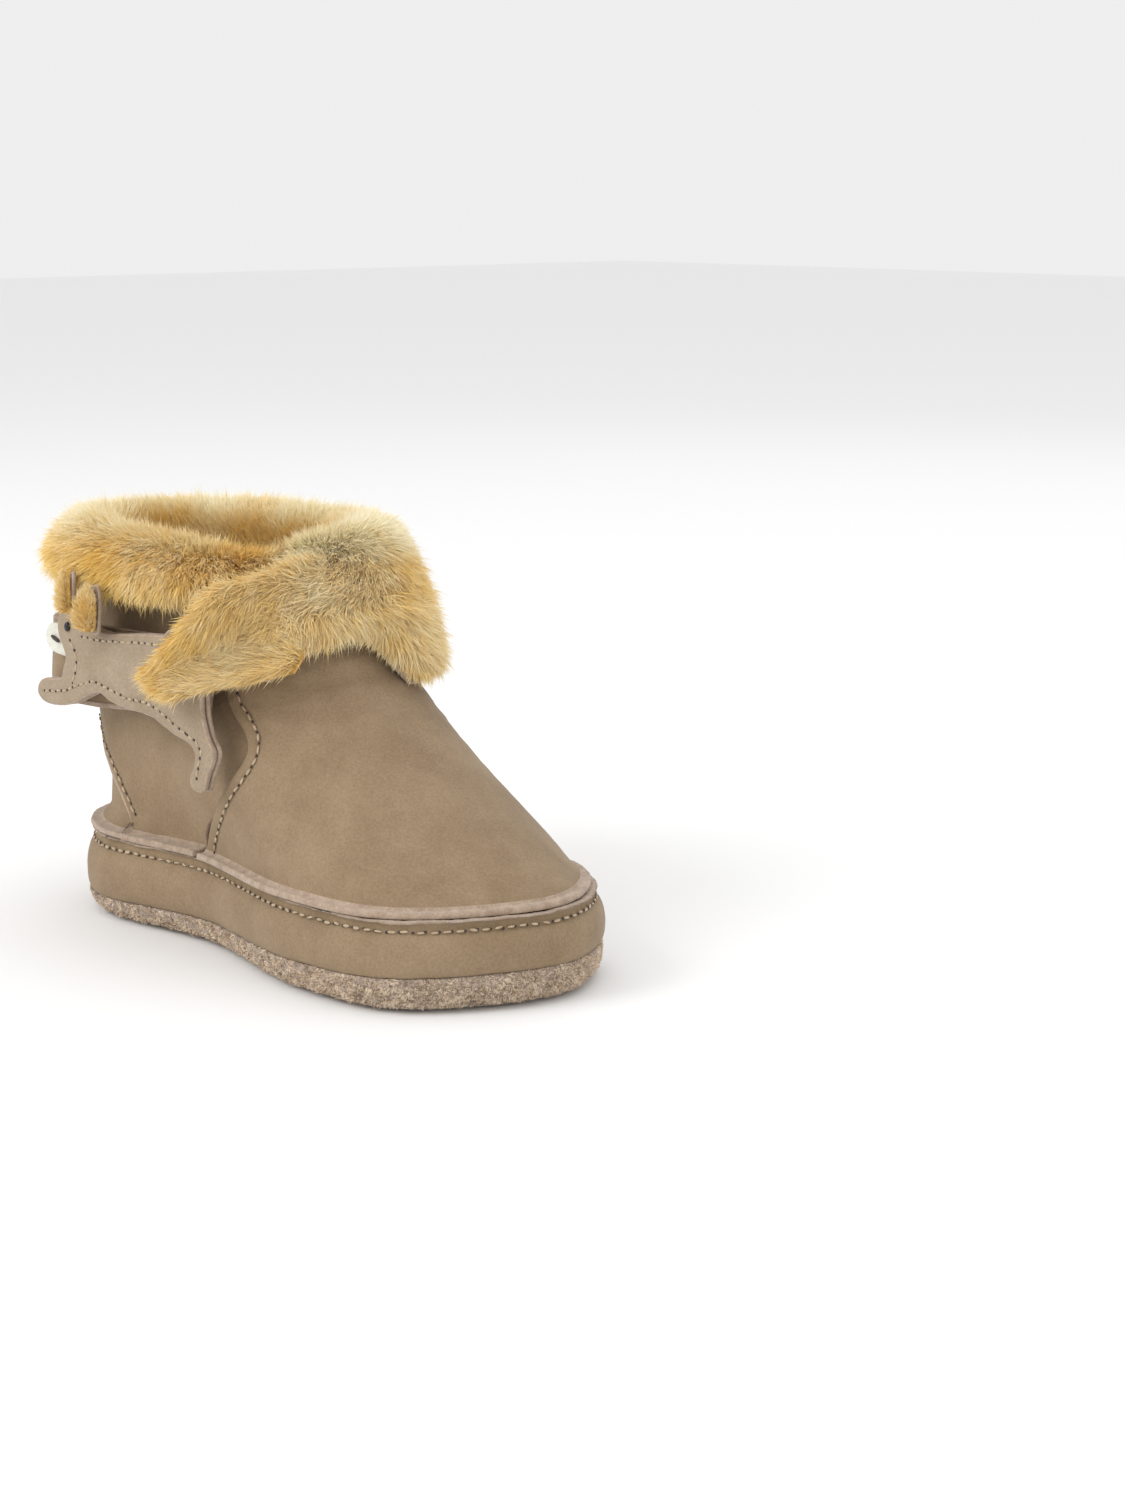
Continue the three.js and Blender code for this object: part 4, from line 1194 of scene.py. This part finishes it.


# tone of the plush, 0 golden and 1 cream: base, patches and locks, paler to the front, and paler at the rim
# as painted highlight where light catches the cuff's top fold
toneLook = {
    "base": 0.22, "patch": 0.3, "patchSize": 9, "lock": 0.26, "lockSize": 2.6,
    "rim": 0.75, "rimHighlightHeights": (71, 77), "front": 0.28, "frontFrom": (48, 78),
}


def plushTone(points, seed):
    patches = toneLook["patch"] * cloudy(points, toneLook["patchSize"], seed)
    locks = toneLook["lock"] * cloudy(points, toneLook["lockSize"], seed + 1)
    # painted highlight: the plush gets paler towards the top of the cuff
    rim = toneLook["rim"] * ease(*toneLook["rimHighlightHeights"], points[:, 2])
    front = toneLook["front"] * ease(*toneLook["frontFrom"], points[:, 0])
    return toneLook["base"] + patches + locks + rim + front


def cuffHair(prefix, grid, sideways, seed):
    # grid rows run from inside the shaft over the top to the lower edge outside
    rng = np.random.default_rng(seed)
    split = cuffLook["splitRow"]
    for part, rows in (("outer", grid[split:]), ("top", grid[: split + 1])):
        roots, normals, around, down, way = sampleGrid(rows, cuffLook["hairs"], rng)
        normals = -normals
        comb = down + around * sideways(roots)[:, None]
        high = ease(*cuffLook["topFrom"], roots[:, 2])
        lean = cuffLook["lean"] + (cuffLook["topLean"] - cuffLook["lean"]) * high
        size = cuffLook["length"] + (cuffLook["topLength"] - cuffLook["length"]) * high
        if part == "outer":
            size *= 1 - 0.5 * ease(0.72, 1, way)  # shorter at the lower edge
        tone = plushTone(roots, seed)
        growHair(f"{prefix}_{part}_plush", roots, normals, comb, size, lean, tone, seed=seed)


def rearComb(p):
    return np.where(p[:, 1] < 0, (p[:, 0] - 30) / 42, -(p[:, 0] - 30) / 60)


def frontComb(p):
    return np.interp(p[:, 1], [-24, -12, 2, 12, 22], [-1.1, -0.9, 0.1, 0.8, 0.5])


rearGrid = cuffBase("rear_cuff_backing", rearTurns, rearBottom, noStandOff, 61, ["rear_cuff_pile"])
frontGrid = cuffBase("front_cuff_backing", frontTurns, frontBottom, standOff, 62, ["front_cuff_pile"])
cuffHair("rear_cuff", rearGrid, rearComb, 71)
cuffHair("front_cuff", frontGrid, frontComb, 72)
print("stage: cuffs")


# leather on the back of the cuffs, seen along their lower edge
def makeCuffLeather():
    below = cuffLook["skinBelow"]
    for name, turns, bottom, lift, node in (
        ("rear_cuff_skin", rearTurns, rearBottom, noStandOff, "rear_cuff_leather"),
        ("front_cuff_skin", frontTurns, frontBottom, standOff, "front_cuff_leather"),
    ):
        u = np.linspace(0, 1, 200)
        low = bottom(turns(np.full(200, float(cuffLook["hanging"])), u))
        rows = []
        for share in np.linspace(0, 1, 30):
            z = low - below + (last["top"] - cuffLook["skinTop"] - low + below) * share
            s = turns(z, u)
            rows.append(skin(s, z, cuffLook["skinOffset"] + lift(s, z)))
        grid = np.stack(rows)
        grid = grid + gridNormals(grid) * (0.1 * cloudy(grid, 5, 81))[..., None]
        sheetMesh(name, grid, cuffLook["skinThickness"], rawRows=1, slot="nubuck", replaces=[node])


makeCuffLeather()

# lining
liningLook = {
    "offset": -4.2, "thickness": 2.0, "low": 11, "high": 66.4, "splitX": 52,
    "hairs": 22000, "length": 3.2, "lean": 0.7, "paler": 0.1,
    "insoleHairs": 12000, "insoleLength": 3.0, "insoleLean": 0.8,
}


def makeLining():
    x, low, high = liningLook["splitX"], liningLook["low"], liningLook["high"]

    def rearSide(z, u):
        start = stationAt(x, z, False) - 0.998
        return start + (stationAt(x + 4, z, True) - stationAt(x, z, False) + 0.998) * u

    def frontSide(z, u):
        start = stationAt(x + 4.6, z, True)
        return start + (stationAt(x, z, False) - 0.002 - start) * u

    for k, (node, turns) in enumerate((("rear_lining", rearSide), ("front_lining", frontSide))):
        u = np.linspace(0, 1, 150)
        rows = []
        for z in np.linspace(low, high, 70):
            heights = np.full(150, z)
            rows.append(skin(turns(heights, u), heights, liningLook["offset"]))
        grid = np.stack(rows)
        inner = grid - gridNormals(grid) * liningLook["thickness"]
        sheetMesh(f"{node}_backing", grid, liningLook["thickness"], finishes=[pileBacking] * 3, slot="pile",
                  replaces=[node])
        rng = np.random.default_rng(90 + k)
        weight = 0.15 + ease(25, 60, inner[..., 2])  # fewer hairs where nobody sees them
        roots, normals, around, up, _ = sampleGrid(inner, liningLook["hairs"], rng, weight)
        count = len(roots)
        growHair(f"{node}_plush", roots, -normals, up + 0.2 * around, np.full(count, liningLook["length"]),
                 np.full(count, liningLook["lean"]), plushTone(roots, 93) + liningLook["paler"], seed=95 + k)


makeLining()


def insoleHair():
    rng = np.random.default_rng(97)
    fractions = np.linspace(0.03, 0.97, 120)
    outerSide, innerSide = stationsOver((1 - np.cos(fractions * math.pi)) / 2)
    inset, height = 5, 9.9
    a, b = outlineAt(outerSide, inset, height), outlineAt(innerSide, inset, height)
    grid = a[:, None] + (b - a)[:, None] * np.linspace(0, 1, 40)[None, :, None]
    roots, _, _, along, _ = sampleGrid(grid, liningLook["insoleHairs"], rng)
    count = len(roots)
    up = np.tile([0, 0, 1.0], (count, 1))
    toHeel = -np.abs(along) * np.array([1, 0, 0]) + 1e-3
    growHair("insole_plush", roots, up, toHeel, np.full(count, liningLook["insoleLength"]),
             np.full(count, liningLook["insoleLean"]), plushTone(roots, 98) + liningLook["paler"], seed=99)


insoleHair()

# the suede sole's nap
napLook = {
    "hairs": 52000, "length": 0.75, "lowest": 0.9, "lean": 0.8, "tone": 0.5, "width": 0.24, "sink": 0.3,
    "pull": 0.4,
    # how far in the side lies against height
    "inset": [(0.9, 2.2), (1.7, 1.3), (2.5, 0.6), (4, 0.1)],
}


def soleNap():
    # short coarse nap on the turned-up side of the suede sole
    rng = np.random.default_rng(97)
    turns = np.linspace(0, 1, 420)
    rows = []
    for share in np.linspace(0, 1, 12):
        z = napLook["lowest"] + (rimHeight(turns) - napLook["lowest"]) * share
        point = outlineAt(turns, 0, z)
        inward = unit(outlineAt(turns, 1, z) - point)
        rows.append(point + inward * lineTable(napLook["inset"], z)[:, None])
    roots, normals, around, up, _ = sampleGrid(np.stack(rows), napLook["hairs"], rng)
    count = len(roots)
    away = roots - np.array([soleMiddle, 0, 3])
    normals = normals * np.sign((normals * away * [0.2, 1, 1]).sum(1, keepdims=True))
    comb = around * rng.standard_normal((count, 1)) + 0.6 * up * rng.standard_normal((count, 1))
    look = {**hairLook, "width": napLook["width"], "sink": napLook["sink"], "pull": napLook["pull"]}
    made = growHair("outsole_nap", roots, normals, comb, np.full(count, napLook["length"]),
                    np.full(count, napLook["lean"]), np.full(count, napLook["tone"]), seed=98,
                    look=look)
    # the nap wears the lighter copy of the suede, partly painted light
    made.data.materials[0] = soleNapLightened


soleNap()
print("stage: lining and insole")

# closing strap
strapLook = {
    "outline": [
        (62, 59.8), (52, 59.5), (43.4, 58.8), (31, 57.7), (26.4, 58.8), (24.4, 61.4), (21.5, 62.8),
        (18.2, 61.8), (16.2, 58.8), (16, 56.2), (17.4, 53.8), (18.3, 51.6), (17.4, 49.2), (16.6, 47.4),
        (14, 46.8), (10.6, 46.4), (8.6, 45.2), (8.3, 43.4), (10, 42), (14.2, 41.7), (20.4, 42.8),
        (24.8, 44.6), (29.3, 46.1), (33.2, 45), (38.5, 44.3), (46.4, 43.8),
        (53.3, 41.5), (58, 40.3), (59.6, 38.6), (58.9, 36), (57.9, 33.6), (58.5, 32.1), (61.6, 32),
        (63, 34.8), (65, 39.5), (63.2, 42.4), (62, 45.8), (61.8, 52),
    ],
    "face": -27.5, "faceThickness": 1.15, "backing": -26.1, "backingThickness": 0.95, "headStart": 19.6,
    "bow": 0.35, "bowMiddle": 38, "bowHalf": 26, "backingBow": 0.3, "ripple": 0.06,
    # stitches, finer than those of the boot
    "stitches": {**stitchLook, "pitch": 2.1, "radius": 0.24, "hole": 0.28},
    "rows": {
        "strap_top_stitches": [(24.5, 56.2), (30, 56.1), (37, 56.7), (44, 57.3), (52, 57.7), (58, 58)],
        "strap_chest_stitches": [(20.4, 55), (21.8, 53.6), (22.5, 51.6), (22, 49.2), (20.7, 46.8)],
        "strap_paw_stitches": [(10.6, 44), (14.3, 44.4), (18.1, 45), (23, 46.8), (27.8, 48.1), (32.4, 47.5),
                               (38.5, 46.3), (45, 46.3), (49.5, 45.3), (54, 43.2), (57.3, 42.2)],
        "strap_leg_stitches": [(57.6, 42), (60.4, 40.9), (61.7, 39.2), (60.8, 36.8), (60, 34.2)],
    },
    "muzzle": [(18.2, 57.0), (14.6, 57.4), (11.0, 56.8), (9.9, 54.6), (10.9, 52.4), (14.6, 51.4),
               (18.2, 51.6)],
    "muzzleThickness": 0.9,
}


def insideOf(polygon, points):
    x, y = points[:, 0], points[:, 1]
    inside = np.zeros(len(points), bool)
    for (x0, y0), (x1, y1) in zip(polygon, np.roll(polygon, -1, 0)):
        crosses = (y0 > y) != (y1 > y)
        with np.errstate(divide="ignore", invalid="ignore"):
            at = (x1 - x0) * (y - y0) / (y1 - y0) + x0
        inside ^= crosses & (x < at)
    return inside


def loopArea(loop):
    return 0.5 * np.sum(loop[:, 0] * np.roll(loop[:, 1], -1) - np.roll(loop[:, 0], -1) * loop[:, 1])


def moveIn(loop, far):
    ahead = unit(np.roll(loop, -1, 0) - np.roll(loop, 1, 0))
    inward = np.column_stack([-ahead[:, 1], ahead[:, 0]]) * np.sign(loopArea(loop))
    return loop + inward * far


# rounding of a cut edge, and the step along the outline
cutLook = {"shares": (0.2, 0.5, 0.8), "round": 0.06, "fuzz": 0.08, "fibre": 0.7, "step": 0.55}


def cutPlate(name, outline, face, thickness, finishes, pitch=0.9, bevel=0.22, shape=None, place=None,
             **rest):
    # a piece cut from flat leather: bevelled raw edge, fine faces so that it can be bent by shape(x, z)
    around = sum(np.linalg.norm(np.diff(np.array(outline), axis=0), axis=1))
    count = max(40, int(around / cutLook["step"]))
    loop = closedCurve(outline, np.arange(count) / count)
    loop = loop if loopArea(loop) > 0 else loop[::-1]
    inset = moveIn(loop, bevel)
    low, high = inset.min(0), inset.max(0)
    gx, gz = np.meshgrid(np.arange(low[0], high[0], pitch), np.arange(low[1], high[1], pitch))
    inner = np.column_stack([gx.ravel(), gz.ravel()])
    inner = inner[insideOf(moveIn(loop, bevel + 0.45 * pitch), inner)]
    flat = np.concatenate([inset, inner])
    edges = [(i, (i + 1) % count) for i in range(count)]
    cut = delaunay_2d_cdt([Vector(p) for p in flat], edges, [], 1, 1e-5)
    flat = np.array([tuple(v) for v in cut[0]])
    triangles = [tuple(f) for f in cut[2]]
    rimIds = []
    for i in range(count):
        rimIds.append(next(k for k in (cut[3].index(o) for o in cut[3] if i in o)))
    bend = shape or (lambda x, z: 0 * x)

    def sheet(points2, y):
        return np.column_stack([points2[:, 0], y + bend(points2[:, 0], points2[:, 1]), points2[:, 1]])

    size = len(flat)
    points = [sheet(flat, face), sheet(flat, face + thickness)]
    # outlines run counter-clockwise in x and z, which faces -y
    faces = [list(t) for t in triangles] + [[size + i for i in t[::-1]] for t in triangles]
    kinds = [0] * len(triangles) + [1] * len(triangles)
    loops = [np.array(rimIds)]
    total = 2 * size
    outward = moveIn(loop, -1) - loop
    for step, share in enumerate(cutLook["shares"]):
        level = face + thickness * share
        fuzz = cutLook["fuzz"] * cloudy(sheet(loop, level), cutLook["fibre"], 7 + step)
        bulge = fuzz + cutLook["round"] * math.sin(math.pi * share)
        points.append(sheet(loop + outward * bulge[:, None], level))
        loops.append(total + np.arange(count))
        total += count
    loops.append(size + np.array(rimIds))
    for a, b in zip(loops, loops[1:]):
        for i in range(count):
            j = (i + 1) % count
            faces.append([a[i], b[i], b[j], a[j]])
            kinds.append(2)
    allPoints = np.concatenate(points)
    if place is not None:
        allPoints = place(allPoints)
    return putMesh(name, allPoints, faces, finishes, kinds, **rest)


def strapShape(x, z):
    # the strap lies a little bowed, with faint ripples
    bow = np.cos(np.clip((x - strapLook["bowMiddle"]) / strapLook["bowHalf"], -1, 1) * math.pi / 2)
    return -strapLook["bow"] * bow + strapLook["ripple"] * np.sin(x * 0.9) * np.sin(z * 0.7)


def onStrap(line):
    x, z = np.array(line, float).T
    fine, _ = pathPoints(np.column_stack([x, strapLook["face"] + strapShape(x, z), z]), 60)
    return fine, np.tile([0, -1.0, 0], (60, 1))


def makeStrap():
    outline = strapLook["outline"]
    cutPlate("strap_face_leather", outline, strapLook["face"], strapLook["faceThickness"],
             [strapLeather, fleshSide, rawEdge], shape=strapShape, body="strap", slot="nubuck",
             replaces=["strap_face"])
    # the backing stops short of the head
    backOutline = [(max(x, strapLook["headStart"]) if z > 50 else x, z) for x, z in outline]
    cutPlate("strap_backing_leather", backOutline, strapLook["backing"], strapLook["backingThickness"],
             [fleshSide, fleshSide, rawEdge], shape=lambda x, z: strapLook["backingBow"] * strapShape(x, z),
             body="strap", slot="nubuck", replaces=["strap_backing"])
    for name, line in strapLook["rows"].items():
        points, normals = onStrap(line)
        sewRow(name, points, normals, body="strap", look=strapLook["stitches"])
    cutPlate("muzzle_leather", strapLook["muzzle"], strapLook["backing"], strapLook["muzzleThickness"],
             [muzzleLeather] * 3, pitch=0.5, bevel=0.15, shape=lambda x, z: 0.35 * ease(12, 18, x) - 0.2,
             body="strap", slot="white_leather", replaces=["muzzle"])


makeStrap()


def addBall(name, centre, sizes, turn, finish, replaces, bumps=0.0):
    # a small rounded stud, finer than the stitches
    template, faces = ballTemplate(20, 11)
    points = template * np.array(sizes)
    points += unit(points) * (bumps * cloudy(points, 0.5, 2))[:, None]
    spin = np.array(Matrix.Rotation(math.radians(turn), 3, "Y"))
    putMesh(name, points @ spin.T + np.array(centre), faces, [finish], body="strap", slot="dark_thread",
            replaces=replaces)


addBall("nose_stitch", (13.6, -26.55, 54.4), (1.5, 0.42, 0.4), 21, darkThreadAndHoleShade, ["nose"], 0.06)
addBall("eye_bead", (20, -28.0, 57.6), (0.72, 0.5, 0.95), 10, eyeFinish, ["eye"])

tapeLook = {
    # name: CAD node, lowest and highest x, lowest and highest z, outer face
    "hook_tape": ("hook_patch", 22, 42, 47.2, 56.2, -24.9),
    "loop_tape": ("loop_patch", 21, 45, 46.4, 56.6, -24.0),
}


def makePatches():
    corner, thick = 2, 0.55
    bodies = frame["record"]["behaviour"]["bodies"]
    for name, (node, x0, x1, z0, z1, face) in tapeLook.items():
        home = next(body for body, nodes in bodies.items() if node in nodes)
        middle = (x0 + x1) / 2
        outline = [(x0 + corner, z0), (middle, z0), (x1 - corner, z0), (x1, z0 + corner), (x1, z1 - corner),
                   (x1 - corner, z1), (middle, z1), (x0 + corner, z1), (x0, z1 - corner), (x0, z0 + corner)]
        cutPlate(name, outline, face, thick, [hookTape] * 3, pitch=0.6, bevel=0.1, body=home,
                 slot="hook_tape", replaces=[node])


makePatches()

# ears
earLook = {
    "leaf": [(-3.6, 0), (-3.4, 4), (-1.4, 7.6), (0.6, 8.8), (2.6, 7), (3.6, 3.6), (3.2, 0), (0, -1.2)],
    # place, turn about z, lean about y, size
    "ear_front": ((31.4, -29.4, 58.9), -2, 8, 0.95),
    "ear_rear": ((25.2, -29.4, 61.4), -20, -4, 0.85),
    "shell": -0.8, "shellThickness": 0.8, "curl": 0.085,
    "pad": -2.0, "padThickness": 1.1, "padCurl": 0.05, "padWidth": 0.78, "padHeight": 0.84, "padRise": 0.4,
    "hairs": 5200, "length": 1.9, "lean": 0.95, "hairWidth": 0.15,
}


def makeEar(name, seed):
    (x, y, z), turn, lean, size = earLook[name]
    spin = Matrix.Rotation(math.radians(turn), 3, "Z") @ Matrix.Rotation(math.radians(lean), 3, "Y")
    spin = np.array(spin)

    def place(points):
        return points @ spin.T + np.array([x, y, z])

    leaf = [(a * size, b * size) for a, b in earLook["leaf"]]
    cutPlate(f"{name}_shell", leaf, earLook["shell"], earLook["shellThickness"],
             [strapLeather, fleshSide, rawEdge], pitch=0.6, bevel=0.15,
             shape=lambda u, w: -earLook["curl"] * u * u + 0.25, place=place, body="strap", slot="nubuck",
             replaces=[f"{name}_leather"])
    pad = [(a * earLook["padWidth"], earLook["padRise"] + b * earLook["padHeight"]) for a, b in leaf]
    cutPlate(f"{name}_pad", pad, earLook["pad"], earLook["padThickness"], [pileBacking] * 3,
             pitch=0.6, bevel=0.35, shape=lambda u, w: -earLook["padCurl"] * u * u, place=place,
             body="strap", slot="pile", replaces=[f"{name}_pile"])
    rng = np.random.default_rng(seed)
    box = np.array(leaf)
    spots = rng.uniform(box.min(0), box.max(0), (earLook["hairs"] * 3, 2))
    spots = spots[insideOf(closedCurve(pad, np.arange(60) / 60), spots)][: earLook["hairs"]]
    across, up = spots.T
    count = len(spots)
    roots = np.column_stack([across, earLook["pad"] + 0.1 - earLook["padCurl"] * across**2, up])
    spread = unit(np.column_stack([across * 0.16, np.full(count, -1.0), (up - 3) * 0.14]))
    comb = np.column_stack([across * 0.25, 0 * across, np.ones(count)])
    tone = 0.35 + 0.35 * cloudy(roots, 3, seed)
    length, lean = np.full(count, earLook["length"]), np.full(count, earLook["lean"])
    growHair(f"{name}_plush", place(roots), spread @ spin.T, comb @ spin.T, length, lean, tone,
             body="strap", seed=seed, look={**hairLook, "width": earLook["hairWidth"]})


makeEar("ear_front", 111)
makeEar("ear_rear", 112)
print("stage: strap and ears")

# plush corner over the strap's root
cornerLook = {
    "outline": [(61.4, 61), (57, 61.6), (53.2, 60.4), (50.6, 56), (49.4, 51), (53, 49.6), (57, 48.6),
                (61.4, 50.4)],
    # free edge from the lowest point round the tip and up to the rim: x, y, z
    "tip": [(58.6, -30.4, 49.0), (54.8, -30.7, 51.0), (52.4, -30.8, 54.0), (54.2, -30.7, 57.0),
            (57.4, -30.5, 60.0), (60.8, -29.9, 63.0), (63.4, -28.4, 66.6), (64.8, -25.6, 70.4)],
    "low": 51.2, "high": 71.5, "size": 40, "thickness": 1.3, "joinOffset": 4.6, "crown": 0.9, "raise": 0.95,
    "bumps": 0.35, "thinning": 0.9,
    "hairs": 56000, "length": 4.4, "lean": 1.05, "comb": (-0.85, -0.1, -0.5), "combWave": 0.3,
    "blendStart": (64, -28, 60), "blendEnd": (58, -28, 57),
}


def cornerGrid():
    # a patch from the free edge to the end of the front cuff
    size = cornerLook["size"]
    v = np.linspace(0, 1, size)
    free, _ = pathPoints(cornerLook["tip"], size)
    z = cornerLook["low"] + (cornerLook["high"] - cornerLook["low"]) * v
    s = frontTurns(z, 0.1)
    joined = skin(s, z, cornerLook["joinOffset"] + standOff(s, z) - 1.2 * ease(67, 72, z))
    u = np.linspace(0, 1, size)[None, :, None]
    grid = free[:, None] * (1 - u) + joined[:, None] * u
    grid[..., 1] -= cornerLook["crown"] * np.sin(math.pi * u[..., 0])
    return grid


def makeCorner():
    cutPlate("corner_skin", cornerLook["outline"], -28.7, 0.9, [nubuck, fleshSide, rawEdge], body="strap",
             slot="nubuck", replaces=["corner_leather"])
    grid = cornerGrid()
    normals = gridNormals(grid)
    normals *= np.sign(normals[..., 1:2] * -1)
    grid = grid + normals * (cornerLook["bumps"] * cloudy(grid, 4, 121) + cornerLook["raise"])[..., None]
    rows, columns = grid.shape[:2]
    u, v = np.meshgrid(np.linspace(0, 1, columns), np.linspace(0, 1, rows))
    # thinner towards every edge
    thin = np.clip(np.minimum(np.minimum(u, 1 - u), np.minimum(v, 1 - v)) * 8, 0.15, 1) ** 0.5
    front = grid - normals * (1 - thin[..., None]) * cornerLook["thinning"]
    back = front - normals * (cornerLook["thickness"] * thin)[..., None]
    index = np.arange(rows * columns).reshape(rows, columns)
    rim = borderOf(index)
    half = rows * columns
    faces = np.concatenate([gridFaces(index), gridFaces(index + half)[:, ::-1],
                            np.stack([rim, rim + half, np.roll(rim + half, -1), np.roll(rim, -1)], 1)])
    made = putMesh("corner_backing", np.concatenate([front.reshape(-1, 3), back.reshape(-1, 3)]), faces,
                   [pileBacking], body=None, slot="pile", replaces=["corner_pile"])
    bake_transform(made)
    rng = np.random.default_rng(123)
    roots, facing, _, _, _ = sampleGrid(front, cornerLook["hairs"], rng)
    facing *= np.sign(facing[:, 1:2] * -1)
    count = len(roots)
    wave = cornerLook["combWave"] * (cloudy(roots, 6, 127) * np.array([[1.0], [0], [-1.4]])).T
    hairs = growHair("corner_plush", roots, facing, np.tile(cornerLook["comb"], (count, 1)) + wave,
                     np.full(count, cornerLook["length"]), np.full(count, cornerLook["lean"]),
                     plushTone(roots, 72), body=None, seed=125)
    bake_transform(hairs)


makeCorner()


# strap root
rootLook = {
    "low": 51.5, "high": 57.5, "rows": 26, "columns": 30, "x": (63.4, 68.5), "thickness": 1.1,
    "offset": [(0.36, 7.4), (0.4, 4.2), (0.425, 1.8)],  # against turns
}


def makeRoot():
    u = np.linspace(0, 1, rootLook["columns"])
    start, end = rootLook["x"]
    rows = []
    for z in np.linspace(rootLook["low"], rootLook["high"], rootLook["rows"]):
        heights = np.full(len(u), z)
        a, b = stationAt(start, heights, True), stationAt(end, heights, True)
        s = a + (b - a) * u
        rows.append(skin(s, heights, smoothColumn(rootLook["offset"], s)))
    sheetMesh("strap_root_leather", np.stack(rows), rootLook["thickness"], slot="nubuck",
              replaces=["strap_root"])


makeRoot()
print("stage: strap root")
